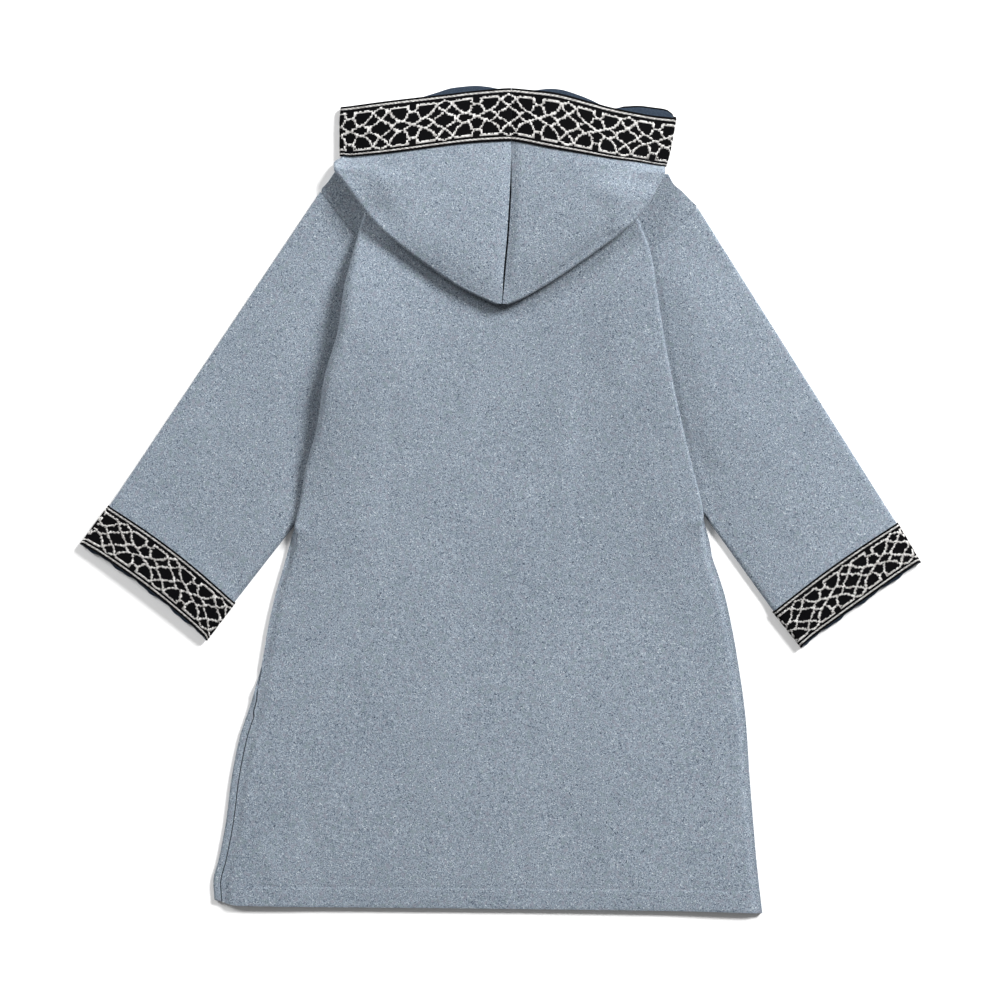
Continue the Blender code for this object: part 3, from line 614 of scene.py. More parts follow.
# creases: share of the way from shoulder to underarm, place on the way to the ribbon, half length and
# half width in the same shares, lean in degrees, and height in mm
SLEEVE_CREASES = {
    "left": ((0.55, 0.12, 0.10, 0.20, 30, 0.8), (0.72, 0.30, 0.16, 0.09, 24, -0.7),
             (0.30, 0.48, 0.22, 0.08, 8, 0.6), (0.60, 0.72, 0.20, 0.10, -6, -0.5),
             (0.25, 0.86, 0.10, 0.10, 12, 0.5), (0.25, 0.20, 0.12, 0.07, 15, -0.6)),
    "right": ((0.50, 0.14, 0.10, 0.18, -24, 0.8), (0.68, 0.34, 0.17, 0.08, -20, -0.7),
              (0.35, 0.55, 0.20, 0.09, -10, 0.6), (0.66, 0.76, 0.18, 0.09, 8, -0.5),
              (0.30, 0.90, 0.09, 0.12, -14, 0.4), (0.22, 0.24, 0.10, 0.06, -12, -0.5)),
}
CREASE_FADE = 0.08     # creases fade out over this share before the ribbon


def sleeve_mound(side, lines):
    """Share of a mound's height: a soft step up from the body's fold, then a bell, by its own ends."""
    clear = SIDES[side][0] * lines[..., 0] - section(side, lines[..., 1])["fold"]
    mound = smooth(clear / MOUND_RISE) * bell(np.maximum(clear - MOUND_RISE, 0) / MOUND_REACH)
    return mound * np.interp(lines[..., 1], *MOUNDS[side][1])


def sleeve_heights(side, lines, places):
    """Heights of both layers. The lower one lies on the floor, and on the ribbon at the cuff. The upper
    one stands above it by two folds and an arch, with the mound, the creases and the seam's dip."""
    travelled = np.linalg.norm(lines - lines[0], axis=-1)
    ribboned = smooth(1 + (places - 1) / RIBBON_RISE)
    low = FLOOR_LEVEL + ribboned * (BAND_LEVEL - FLOOR_LEVEL) + 0 * SLEEVE_SHARES
    arch = np.maximum(np.sin(pi * SLEEVE_SHARES), 0) ** ARCH_POWER
    high = low + 2 * FOLD + SLEEVE_PUFF * arch * smooth((travelled - PUFF_START) / PUFF_RISE)
    off_edges = smooth(arch * 1.4) * smooth(travelled / SEAM_CLEAR)
    high += MOUNDS[side][0] * sleeve_mound(side, lines) * off_edges
    creases = ridge_height(SLEEVE_SHARES[None], places, SLEEVE_CREASES[side])
    high += creases * smooth(arch * 2) * smooth((1 - places) / CREASE_FADE)
    return low, high - SEAM_DIP * bell(travelled / SEAM_WIDTH)


print("mounds beside the folds:", {side: MOUNDS[side][0] for side in SIDES}, "mm")

# %% Rings of a sleeve
UNDER_REACH = 2.2      # the under layer of a cuff shows this much below the upper one
# waves of that edge: share of the reach, radians a mm, and start
UNDER_WAVES = ((0.35, 0.225, 0.0), (0.2, 0.575, 1.0))


def outward(edges, insides):
    """For each point of an edge line, the direction square to that line, away from the inside."""
    along = unit(np.gradient(edges, axis=0))
    across = np.column_stack((-along[:, 1], along[:, 0]))
    return across * np.sign(np.sum(across * (edges - insides), axis=1, keepdims=True))


def tube_rings(lines, lower, upper, pull):
    """Closed rings from lines in plan, rows by points: over the upper layer, round a fold, back along
    the lower layer, and round the other fold. Each fold is half an ellipse of the given reach."""
    lines = lines.copy()
    start_out = unit(lines[:, 0] - lines[:, 1])
    end_out = outward(lines[:, -1], lines[:, -2])
    lines[:, 0] -= start_out * pull
    lines[:, -1] -= end_out * pull
    radius = pull - CLOTH / 2
    bend = pi / 2 - pi * np.arange(1, ARC_STEPS) / ARC_STEPS

    def turned(place, out, low, high, angles):
        """Points round one fold: out by the radius times the cosine, and up by the sine."""
        plan = place[:, None] + out[:, None] * (radius * np.cos(angles))[:, None]
        height = (high + low)[:, None] / 2 + (high - low)[:, None] / 2 * np.sin(angles)
        return np.concatenate((plan, height[..., None]), axis=-1)

    over = np.concatenate((lines, upper[..., None]), axis=-1)
    under = np.concatenate((lines, lower[..., None]), axis=-1)[:, ::-1]
    end = turned(lines[:, -1], end_out, lower[:, -1], upper[:, -1], bend)
    start = turned(lines[:, 0], start_out, lower[:, 0], upper[:, 0], bend[::-1])
    return np.concatenate((over, end, under, start), axis=1)


def sleeve_grid(side):
    """Rings of one sleeve from the armhole seam to the cuff, where the under layer reaches farther."""
    lines, places, away = sleeve_lines(side)
    low, high = sleeve_heights(side, lines, places)
    rings = tube_rings(lines, low, high, CLOTH / 2 + FOLD)
    wave = 1 + sum(share * np.sin(rate * rings[..., 0] + start) for share, rate, start in UNDER_WAVES)
    under = smooth((high.mean(axis=1, keepdims=True) - rings[..., 2]) / (2 * FOLD))
    rings[..., :2] -= away * (UNDER_REACH * wave * smooth(places - 1) * under)[..., None]
    return rings


sleeve_points = {side: sleeve_grid(side) for side in SIDES}
print("sleeve grid:", sleeve_points["left"].shape)

# %% [markdown]
# ## The hood
# The hood is two halves joined by the centre seam, and it lies folded on the back with its point
# down. It could be draped on by a cloth simulation, but would lose its drawn outline. So a section
# across one half goes over its upper layer from the seam to the outer fold, round it, and back along
# the under layer, which rests on the robe. The felt is stiff, so the hood spans the dips of the cloth
# below it, and its level is the highest cloth within reach.

# %% The hood's outline
# rows from the opening to the point: the seam's x and y, the under layer's y at the seam, how far the
# under layer has risen from the floor to the robe, and the outer fold's x and y, left and right
HOOD = np.array((
    (10.5, 385.0, 385.0, 0.0, -148.8, 367.5, 164.2, 357.2),
    (10.5, 368.5, 368.5, 0.0, -149.7, 352.5, 161.4, 341.2),
    (10.5, 351.6, 351.6, 0.0, -149.7, 336.5, 158.6, 326.2),
    (10.5, 334.6, 334.6, 0.0, -149.7, 321.5, 154.8, 312.1),
    (10.1, 320.5, 315.5, 0.3, -156.3, 314.9, 154.6, 309.3),
    (10.1, 306.4, 306.0, 1.0, -155.4, 307.2, 154.0, 304.0),
    (9.6, 288.0, 288.0, 1.0, -147.9, 298.0, 147.3, 291.4),
    (8.6, 270.0, 270.0, 1.0, -130.9, 274.5, 138.8, 276.4),
    (7.7, 255.0, 255.0, 1.0, -118.0, 258.5, 129.4, 263.2),
    (6.6, 240.0, 240.0, 1.0, -104.0, 245.0, 114.4, 249.1),
    (5.2, 226.0, 226.0, 1.0, -88.0, 232.0, 97.5, 236.9),
    (3.9, 211.5, 211.5, 1.0, -69.0, 218.0, 74.9, 220.9),
    (2.9, 197.0, 197.0, 1.0, -41.0, 199.5, 42.0, 199.3),
    (2.2, 187.5, 187.5, 1.0, -17.0, 187.6, 18.0, 185.8),
    (1.6, 182.4, 182.4, 1.0, -6.0, 182.9, 9.0, 182.5),
))
# how far the under layer stands out above the opening: x and distance
LIP = np.array(((-148, 0), (-86, 0), (-62, 3.8), (-44, 7.0), (-27, 6.6), (-12, 4.3), (1, 0.9),
                (11, 0.2), (27, 0.9), (48, 4.7), (59, 5.6), (76, 4.7), (89, 2.8), (101, 0.5),
                (113, 2.8), (136, 7.2), (155, 6.4), (164, 1.0)))
# how far the ribbon's edges bow from straight: x, bow at the opening and at the lower edge
BOW = np.array(((-150, 0, 0), (-140, 0, -2.6), (-112, 0, -2.9), (-85, 0, -2.0), (-56, 0, -0.5),
                (-24, 0.5, 0.7), (10, 0, 0), (50, 2.6, -1.9), (82, 0, -2.3), (104, -2.0, -2.8),
                (136, -2.8, -1.2), (165, 0, 0)))
print("rows of the hood:", len(HOOD))

# %% The level on which the hood lies
SHOULDER_LEVEL = 8.0   # the stiff hood stays this high over the shoulders
SHOULDER_REST = 36.0   # distance beyond a fold over which it comes to that height
CREST_WIDTH = 8.0      # the fold keeps its own height this far out
SPAN_REACH = 14.0      # the hood spans dips this far up and down, and
SPAN_WIDTH = 7.0       # this far to the sides
SPAN_CLEAR = 4.2       # what it keeps clear of the cloth below
SOFTENING = 6          # times that the level is averaged with its neighbours


def body_height(x, y):
    """Height of the body's top layer, also on the shoulders beyond the folds."""
    height = back_height(x, y)
    for side, (sign, _) in SIDES.items():
        out, top = (np.interp(y, CREST_Y, values) for values in CRESTS[side])
        beyond = smooth((sign * x - out - CREST_WIDTH) / SHOULDER_REST)
        height = height + (SHOULDER_LEVEL - top) * beyond
    return height


def softened(values):
    """The values averaged with their neighbours along and across, several times."""
    for _ in range(SOFTENING):
        padded = np.pad(values, 1, mode="edge")
        beside = padded[:-2, 1:-1] + padded[2:, 1:-1] + padded[1:-1, :-2] + padded[1:-1, 2:]
        values = (4 * values + beside) / 8
    return values


def hood_level(plan):
    """Height of the hood's under layer on the body: it spans the highest cloth within its reach."""
    x, y = plan[..., 0], plan[..., 1]
    spanned = [body_height(x + across, np.clip(y + along, BOTTOM, TOP))
               for along in np.linspace(-SPAN_REACH, SPAN_REACH, 7)
               for across in (-SPAN_WIDTH, 0, SPAN_WIDTH)]
    return softened(np.max(spanned, axis=0) + LAYER + SPAN_CLEAR)


print("the hood keeps", SPAN_CLEAR, "mm clear of the back")

# %% Rows of the hood
BAND_ROWS = 3          # the table's rows between which the ribbon lies, from the first
HOOD_BAND_STEPS = 24
HOOD_STEPS = 100
HOOD_COLUMNS = 58      # points across the upper layer
HOOD_UNDER = 34        # and across the under layer


def hood_rows():
    """Places of the grid's rows in the table, closer together along the ribbon."""
    band = np.linspace(0, BAND_ROWS, HOOD_BAND_STEPS + 1)
    rest = np.linspace(BAND_ROWS, len(HOOD) - 1, HOOD_STEPS - HOOD_BAND_STEPS + 1)[1:]
    return np.concatenate((band, rest))


AT = hood_rows()
SEAM_X, SEAM_Y, UNDER_Y, RISE, *OUTLINE = (
    curve(AT, np.arange(len(HOOD), dtype=float), column) for column in HOOD.T)
FOLD_LINES = {"left": np.column_stack(OUTLINE[:2]), "right": np.column_stack(OUTLINE[2:])}
print("rows of the hood's grid:", len(AT), "of which under the ribbon:", HOOD_BAND_STEPS + 1)

# %% The seam, the fold and the layers in plan
SEAM_ROLL = 0.2        # how far each half stands off the centre seam
SEAM_OPEN = 0.8        # how much farther, halfway down the seam
SPREAD_LIMIT = 1.9     # the most that a slanting fold spreads along its row
BOW_POWER = 0.3        # well below 1, so that a bow is felt close to the seam and the fold


def seam_line(side, y):
    """The centre seam on one half's side, where the halves stand apart in the seam's middle part."""
    opened = SEAM_OPEN * smooth((AT - BAND_ROWS - 0.5) / 3) * smooth((len(HOOD) - 1.5 - AT) / 3)
    return np.column_stack((SEAM_X + SIDES[side][0] * (GAP / 2 + SEAM_ROLL + opened), y))


def fold_spread(ends, inward):
    """How much wider than its radius a fold is along its row: 1 over the sine of the angle between
    the row and the fold's line, averaged over seven rows."""
    along = unit(np.gradient(ends, axis=0))
    sine = np.abs(inward[:, 0] * along[:, 1] - inward[:, 1] * along[:, 0])
    spread = np.minimum(1 / np.maximum(sine, 0.01), SPREAD_LIMIT)
    return np.convolve(np.pad(spread, 3, mode="edge"), np.ones(7) / 7, mode="valid")


def hood_layer(start, end, count):
    """One layer in plan: straight rows from the seam to the fold, bowed as the ribbon's edges are.
    The first bow fades out down to the ribbon's lower edge, and the second both ways from there."""
    shares = np.linspace(0, 1, count)
    plan = start[:, None] + shares[:, None] * (end - start)[:, None]
    from_top = (AT / BAND_ROWS)[:, None]
    bow = np.maximum(0, 1 - from_top) * curve(plan[..., 0], BOW[:, 0], BOW[:, 1])
    second = np.minimum(1, from_top) * np.maximum(0, 2 - from_top)
    bow = bow + second * curve(plan[..., 0], BOW[:, 0], BOW[:, 2])
    plan[..., 1] += np.sin(pi * shares) ** BOW_POWER * bow
    return plan


seam_gap = GAP + 2 * (SEAM_ROLL + SEAM_OPEN)
print("halfway down the seam the halves stand", round(seam_gap, 2), "mm apart")

# %% The hood's heights
# how much the hood's upper layer stands up halfway across: rows of the table, and mm
HOOD_PUFF = ((0, 2, 4, 6, 9, 12, 14), (2.2, 2.8, 3.4, 3.7, 3.4, 2.2, 1.0))
PUFF_POWER, PUFF_WIDTH = 0.8, 110.0   # rows narrower than this width stand up less
# the upper layer rises on to the robe before the under layer does: rows, and shares
EARLY_RISE = ((0, 1, 2, 3, 4, 5), (0.22, 0.48, 0.72, 0.9, 0.98, 1.0))
GROOVE = 2.4           # how far the cloth dips into the centre seam
GROOVE_WIDTH = 5.0
GROOVE_FROM = 90.0     # rows narrower than this dip less
ROLL_START = 0.74      # share of the width from which the upper layer comes down to the fold


def hood_heights(upper, lower, width):
    """Heights of both layers. Each rises from the floor to its level on the robe. The upper one adds
    the fold's height and a puff, dips into the seam, and comes down to the fold at its end."""
    rise = RISE[:, None]
    lower_z = BAND_LEVEL + rise * (hood_level(lower) - BAND_LEVEL)
    early = np.maximum(rise, np.interp(AT, *EARLY_RISE)[:, None])
    shares = np.linspace(0, 1, HOOD_COLUMNS)
    puff = np.interp(AT, *HOOD_PUFF)[:, None] * np.sin(pi * shares) ** PUFF_POWER
    depth = GROOVE * smooth(width / GROOVE_FROM)
    upper_z = (BAND_LEVEL + early * (hood_level(upper) - BAND_LEVEL) + 2 * FOLD
               + puff * smooth(width / PUFF_WIDTH)
               + depth * (1 - shares - bell(shares * width / GROOVE_WIDTH)))
    blend = smooth((shares - ROLL_START) / (1 - ROLL_START))
    return upper_z + blend * (lower_z[:, -1:] + 2 * FOLD - upper_z), lower_z


print("deepest dip at the centre seam:", GROOVE, "mm")


# %% Points of the hood
def hood_grid(side):
    """Sections of one hood half: upper layer from the seam, round the outer fold, under layer back."""
    seam, under, ends = seam_line(side, SEAM_Y), seam_line(side, UNDER_Y), FOLD_LINES[side]
    inward = unit(seam - ends)
    spread = fold_spread(ends, inward)[:, None]
    pulled = ends + inward * (CLOTH / 2 + FOLD) * spread
    upper = hood_layer(seam, pulled, HOOD_COLUMNS)
    lower = hood_layer(under, pulled, HOOD_UNDER)
    near_opening = np.maximum(0, 1 - AT / BAND_ROWS)[:, None]
    lower[..., 1] += near_opening ** 2 * curve(lower[..., 0], LIP[:, 0], LIP[:, 1])
    width = np.linalg.norm(ends - seam, axis=1)[:, None]
    upper_z, lower_z = hood_heights(upper, lower, width)
    angles = pi / 2 - pi * np.arange(1, ARC_STEPS) / ARC_STEPS
    fold_plan = pulled[:, None] - inward[:, None] * (FOLD * spread * np.cos(angles))[..., None]
    fold_z = lower_z[:, -1:] + FOLD + FOLD * np.sin(angles)
    return np.concatenate((np.dstack((upper, upper_z)), np.dstack((fold_plan, fold_z)),
                           np.dstack((lower, lower_z))[:, ::-1]), axis=1)


hood_points = {side: hood_grid(side) for side in SIDES}
print("hood grid:", hood_points["left"].shape)

# %% [markdown]
# ## From grids to cloth
# Cloth has a thickness that shows at its edges and folds. Its wall could be a second grid beside the
# first. A Solidify modifier does the same from one grid, half to each side, and a Bevel rounds the
# cut edges, because felted wool has no sharp ones. A second material slot can colour the inside.


# %% A mesh over a grid
def looks_up(grid):
    """Whether the grid's faces look up, tested on its top layer a quarter of the way across."""
    row, column = grid.shape[0] // 2, grid.shape[1] // 4
    here = grid[row, column]
    return np.cross(grid[row, column + 1] - here, grid[row + 1, column] - here)[2] > 0


def grid_mesh(name, grid, closed=False, outside_up=True):
    """A mesh of quads over a grid of points, rows by columns, whose last column may join its first.
    Its faces look to the cloth's outside."""
    rows, columns = grid.shape[:2]
    index = np.arange(rows * columns).reshape(rows, columns)
    if closed:
        index = np.column_stack((index, index[:, 0]))
    faces = np.stack((index[:-1, :-1], index[:-1, 1:], index[1:, 1:], index[1:, :-1]), axis=-1)
    mesh = bpy.data.meshes.new(name)
    mesh.from_pydata(((grid + SHIFT) * MM).reshape(-1, 3), [], faces.reshape(-1, 4))
    if looks_up(grid) != outside_up:
        mesh.flip_normals()
    mesh.shade_smooth()
    return mesh


print("the back panel's faces look up as they are:", bool(looks_up(back_points)))

# %% A wall of cloth
robe = bpy.data.collections.new("robe")
bpy.context.scene.collection.children.link(robe)
EDGE_ROUND = 0.42      # radius of a cut edge, as a share of the cloth's thickness
EDGE_STEPS = 3         # faces round a cut edge
EDGE_ANGLE = 60.0      # only edges sharper than this many degrees are rounded


def add_piece(name, mesh, materials):
    """An object of the robe for a finished mesh, with its materials."""
    for material in materials:
        mesh.materials.append(material)
    obj = bpy.data.objects.new(name, mesh)
    robe.objects.link(obj)
    return obj


def sheet(name, grid, thickness, materials, closed=False, outside_up=True):
    """A wall of cloth over a grid: Solidify gives its thickness and Bevel rounds its edges."""
    obj = add_piece(name, grid_mesh(name, grid, closed, outside_up), materials)
    wall = obj.modifiers.new("wall", "SOLIDIFY")
    wall.thickness = thickness * MM
    wall.offset = 0.0
    wall.use_even_offset = False
    wall.material_offset = len(materials) - 1
    edges = obj.modifiers.new("edges", "BEVEL")
    edges.width = thickness * EDGE_ROUND * MM
    edges.segments = EDGE_STEPS
    edges.limit_method = "ANGLE"
    edges.angle_limit = np.radians(EDGE_ANGLE)
    edges.harden_normals = False
    return obj


print("cut edges are rounded to", CLOTH * EDGE_ROUND, "mm on the wool")

# %% [markdown]
# ## Materials
# The wool is dyed in the fibre: blue-grey, pale and navy fibres are felted together, so its colour is
# a melange of fine specks with a slow drift. A photo of felt could be laid on, but it would repeat and
# show seams. Noise in Object coordinates has neither, because the cloth's own place in the robe picks
# the colour. The ribbon's pattern isn't painted: its silver threads are real shapes, made further down.


# %% A new material
def new_material(name, roughness, **constants):
    """A Principled material as two functions: one adds a node, and one finishes the material."""
    material = bpy.data.materials.new(name)
    material.use_nodes = True
    tree = material.node_tree
    shader = tree.nodes["Principled BSDF"]
    shader.inputs["Roughness"].default_value = roughness
    for key, value in constants.items():
        shader.inputs[key.replace("_", " ")].default_value = value

    def add(kind, inputs, output=0, **settings):
        """A node whose inputs are linked to sockets or set to values, and one of its outputs."""
        made = tree.nodes.new(kind)
        for key, value in settings.items():
            setattr(made, key, value)
        for key, value in inputs.items():
            if isinstance(value, bpy.types.NodeSocket):
                tree.links.new(value, made.inputs[key])
            else:
                made.inputs[key].default_value = value
        return made.outputs[output]

    def finish(colour, normal):
        """The material, once its colour and relief reach the shader."""
        tree.links.new(colour, shader.inputs["Base Color"])
        tree.links.new(normal, shader.inputs["Normal"])
        return material

    return add, finish


print("materials before the first:", len(bpy.data.materials))


# %% Patterns, mixes and relief
def noise(add, place, size_mm, detail=2.0, seed=0.0):
    """Noise whose lumps are about size_mm wide."""
    inputs = {"Vector": place, "Scale": 1 / (size_mm * MM), "Detail": detail, "W": seed}
    return add("ShaderNodeTexNoise", inputs, noise_dimensions="4D")


def ramp(add, value, low, high):
    """0 below low and 1 above high, with a soft step between them."""
    return add("ShaderNodeMapRange", {"Value": value, "From Min": low, "From Max": high},
               interpolation_type="SMOOTHSTEP")


def mixed(add, share, first, second, blend="MIX"):
    """The first colour, and by the share the second."""
    inputs = {0: share, 6: first, 7: second}
    return add("ShaderNodeMix", inputs, output=2, data_type="RGBA", blend_type=blend)


def wave_scale(period):
    """The scale at which a wave texture repeats once in this length."""
    return pi / 10 / period


def bump(add, height, depth_mm, normal=None, strength=1.0):
    """Relief of a height from 0 to 1, this many millimetres deep."""
    inputs = {"Height": height, "Distance": depth_mm * MM, "Strength": strength}
    if normal is not None:
        inputs["Normal"] = normal
    return add("ShaderNodeBump", inputs)


def linear(red, green, blue):
    """A colour given as screen values from 0 to 255, in the linear values that shaders use."""
    share = np.array((red, green, blue)) / 255
    return (*np.where(share < 0.04045, share / 12.92, ((share + 0.055) / 1.055) ** 2.4).tolist(), 1.0)


print("a mid grey on the screen is", round(linear(128, 128, 128)[0], 3), "in a shader")

# %% The felted wool
SPECK = 1.12           # size of the melange's specks in mm
WOOL_DEEP, WOOL_PALE = linear(84, 95, 108), linear(130, 140, 152)
CLOUD_DARK, CLOUD_LIGHT = (0.95, 0.95, 0.93, 1), (1.05, 1.04, 1.01, 1)
# what is felted in: size in mm, detail, seed, where it starts and is full, share, and colour
WOOL_FIBRES = (
    (SPECK * 1.05, 1.0, 3.7, 0.58, 0.69, 1.0, linear(44, 53, 68)),       # navy
    (SPECK * 0.85, 1.0, 8.1, 0.60, 0.71, 1.0, linear(168, 176, 182)),    # white
    (3.6, 2.0, 1.3, 0.50, 0.72, 0.8, linear(112, 115, 127)),             # a drift to rose
    (4.4, 2.0, 5.9, 0.52, 0.74, 0.8, linear(103, 116, 122)),             # and to moss
)


def wool_material(name):
    """Specks between a deep and a pale blue-grey, with other fibres felted in, broad clouds, and the
    relief of lying fibres, specks and small lumps."""
    add, finish = new_material(name, 0.95, Sheen_Weight=0.08, Sheen_Roughness=0.5, Specular_IOR_Level=0.2)
    place = add("ShaderNodeTexCoord", {}, output=3)
    specks = noise(add, place, SPECK, 3.0)
    colour = mixed(add, ramp(add, specks, 0.34, 0.66), WOOL_DEEP, WOOL_PALE)
    for size, detail, seed, low, high, share, tone in WOOL_FIBRES:
        spots = ramp(add, noise(add, place, size, detail, seed), low, high)
        spots = add("ShaderNodeMath", {0: spots, 1: share}, operation="MULTIPLY")
        colour = mixed(add, spots, colour, tone)
    clouds = mixed(add, ramp(add, noise(add, place, 70.0, 3.0, 2.2), 0.25, 0.75), CLOUD_DARK, CLOUD_LIGHT)
    colour = mixed(add, 1.0, colour, clouds, "MULTIPLY")
    lain = add("ShaderNodeMapping", {"Vector": place, "Rotation": (0, 0, 0.5), "Scale": (1, 0.22, 1)})
    relief = bump(add, noise(add, lain, 0.55, 2.0, 4.4), 0.16)
    relief = bump(add, specks, 0.30, relief)
    relief = bump(add, noise(add, place, 4.5, 2.0, 6.6), 0.35, relief)
    return finish(colour, relief)


wool = wool_material("felted wool")
print("melange specks:", SPECK, "mm")

# %% The wool's inside
TWILL = 0.9            # distance between the slanted ribs in mm


def inside_material(name):
    """The wool's darker inside, a fine slanted twill."""
    add, finish = new_material(name, 0.95, Sheen_Weight=0.15, Specular_IOR_Level=0.15)
    place = add("ShaderNodeTexCoord", {}, output=3)
    twill = add("ShaderNodeTexWave", {"Vector": place, "Scale": wave_scale(TWILL * MM), "Distortion": 2.0,
                                      "Detail": 2.0, "Detail Scale": 2.0}, bands_direction="DIAGONAL")
    colour = mixed(add, twill, linear(26, 36, 50), linear(46, 58, 72))
    specks = ramp(add, noise(add, place, SPECK, 2.0), 0.5, 0.72)
    return finish(mixed(add, specks, colour, linear(60, 72, 84)), bump(add, twill, 0.25))


lining = inside_material("wool inside")
front = sheet("front_panel", front_points, CLOTH, [wool], outside_up=False)
back = sheet("back_panel", back_points, CLOTH, [wool, lining])
sleeves = {s: sheet(f"{s}_sleeve", sleeve_points[s], CLOTH, [wool, lining], closed=True) for s in SIDES}
hoods = {s: sheet(f"{s}_hood", hood_points[s], CLOTH, [wool, lining]) for s in SIDES}
print("cloth pieces:", 2 + len(sleeves) + len(hoods))

# %% [markdown]
# ## The ribbon
# The ribbon is woven: a black warp-faced ground, with silver wefts that float on top where the
# pattern asks for them. It could be a strip bent along a curve, but it is sewn flat on the hood's edge
# and on the cuffs. So its ground takes the rows of points of the cloth under it, moved out by the gap.

# %% The ribbon's threads
RIB, WEFT_RIB = 0.9, 0.5   # distances between the ground's ribs and between its wefts, in mm


def ground_material(name):
    """The ribbon's black warp: close ribs along the ribbon, crossed by fine wefts."""
    add, finish = new_material(name, 0.75, Specular_IOR_Level=0.03)
    place = add("ShaderNodeUVMap", {}, uv_map="threads")
    ribs, wefts = (
        add("ShaderNodeTexWave", {"Vector": place, "Scale": wave_scale(period), "Distortion": 0.4},
            bands_direction=direction) for period, direction in ((RIB, "Y"), (WEFT_RIB, "X")))
    colour = mixed(add, ribs, linear(2, 2, 3), linear(9, 9, 11))
    return finish(colour, bump(add, wefts, 0.06, bump(add, ribs, 0.10)))


def silver_material(name):
    """Flat metal thread: bright, with slow changes of brightness from thread to thread."""
    add, finish = new_material(name, 0.45, Metallic=0.25, Specular_IOR_Level=0.5)
    place = add("ShaderNodeTexCoord", {}, output=3)
    lots = ramp(add, noise(add, place, 2.6, 2.0), 0.3, 0.7)
    colour = mixed(add, lots, linear(158, 155, 152), linear(222, 221, 219))
    return finish(colour, bump(add, noise(add, place, 0.3, 1.0, 2.0), 0.03))


black = ground_material("ribbon warp")
silver = silver_material("silver thread")
print("ribbon materials:", black.name, "and", silver.name)

# %% Ribbon grounds
PEEK = 2.0             # how far the ribbon's lower layer stands out at the hood's right end
PEEK_FROM, PEEK_FULL = 108.0, 116.0


def grid_normals(grid, closed=False):
    """Unit normals of a grid of points, from its differences along and across, pointing up on top."""
    if closed:
        across = np.roll(grid, -1, axis=1) - np.roll(grid, 1, axis=1)
    else:
        across = np.gradient(grid, axis=1)
    normals = unit(np.cross(np.gradient(grid, axis=0), across))
    return normals if normals[0, 3, 2] > 0 else -normals


def ribbon_grid(grid, rows, closed):
    """The ribbon's sheet: the rows of cloth that it lies on, moved out by the gap and its half. On the
    hood its ends stay on the seam, and its lower layer stands out a little at the right end."""
    cloth = grid[rows]
    moved = cloth + (grid_normals(grid, closed) * RIBBON_LIFT)[rows]
    if not closed:
        on_floor = cloth[:, :, 2].max(axis=0) < BAND_LEVEL + 1.0
        edge = np.linspace(1, 0, len(moved))[:, None] ** 2
        at_end = smooth((moved[:, :, 0] - PEEK_FROM) / (PEEK_FULL - PEEK_FROM))
        moved[:, :, 1] += PEEK * edge * on_floor * at_end
        moved[:, (0, -1), :2] = cloth[:, (0, -1), :2]
    moved[:, :, 2] = np.maximum(moved[:, :, 2], RIBBON / 2)
    return moved


ON_HOOD, ON_CUFF = slice(0, HOOD_BAND_STEPS + 1), slice(SLEEVE_ROWS - 1, None)
ribbon_points = {}
for side in SIDES:
    ribbon_points[f"{side}_hood_ribbon"] = ribbon_grid(hood_points[side], ON_HOOD, False)
    ribbon_points[f"{side}_cuff_ribbon"] = ribbon_grid(sleeve_points[side], ON_CUFF, True)
ribbons = {name: sheet(name, points, RIBBON, [black], closed="cuff" in name)
           for name, points in ribbon_points.items()}
print("ribbon grids:", {name: points.shape[:2] for name, points in ribbon_points.items()})


# %% A map of the ribbon for its threads
def along_ribbon(grid):
    """How far each column lies along the ribbon in mm, measured on the ribbon's middle row."""
    steps = np.linalg.norm(np.diff(grid[grid.shape[0] // 2], axis=0), axis=1)
    return np.append(0.0, np.cumsum(steps))


for name, points in ribbon_points.items():
    across = np.linspace(0, RIBBON_WIDTH, points.shape[0])
    table = np.stack(np.meshgrid(along_ribbon(points), across), axis=-1).reshape(-1, 2)
    mesh = ribbons[name].data
    corners = np.empty(len(mesh.loops), dtype=int)
    mesh.loops.foreach_get("vertex_index", corners)
    mesh.uv_layers.new(name="threads").data.foreach_set("uv", table[corners].ravel())
    print(name, "is", round(float(along_ribbon(points)[-1])), "mm long")

# %% [markdown]
# ## The silver pattern
# The traditional star lattice could be painted on, but woven silver stands above its ground and
# catches the light. So it is drawn on point paper, as a weaver does: one quarter of a repeat is a few
# straight lines, mirrored both ways, and a square of the paper is black or silver. For each weft the
# silver squares in a row become one float, a small bar that dips into the ground at both ends.

# %% The lines of the lattice
RIBBON_HALF = 17.5     # from the lattice's middle to its border, in mm
# a quarter repeat as chains of corners: along from a diamond's middle and across from the lattice's,
# in shares of half a repeat and of the lattice's half width
CHAINS = (
    ((0.0, 1.09), (0.255, 0.91), (0.35, 1.0), (0.86, 1.0), (0.845, 0.84), (0.92, 0.68), (1.0, 0.68)),
    ((0.0, 0.48), (0.14, 0.66), (0.255, 0.91), (0.31, 0.72), (0.375, 0.54), (0.46, 0.42), (0.60, 0.28),
     (0.71, 0.22), (1.0, 0.0)),
    ((0.71, 0.22), (0.77, 0.33), (0.83, 0.47), (0.835, 0.60), (0.92, 0.68)),
    ((0.0, 0.48), (0.15, 0.285), (0.295, 0.17), (0.355, 0.0), (0.45, 0.16), (0.60, 0.28)),
)
QUARTER = np.array([ends for chain in CHAINS for ends in zip(chain, chain[1:])])


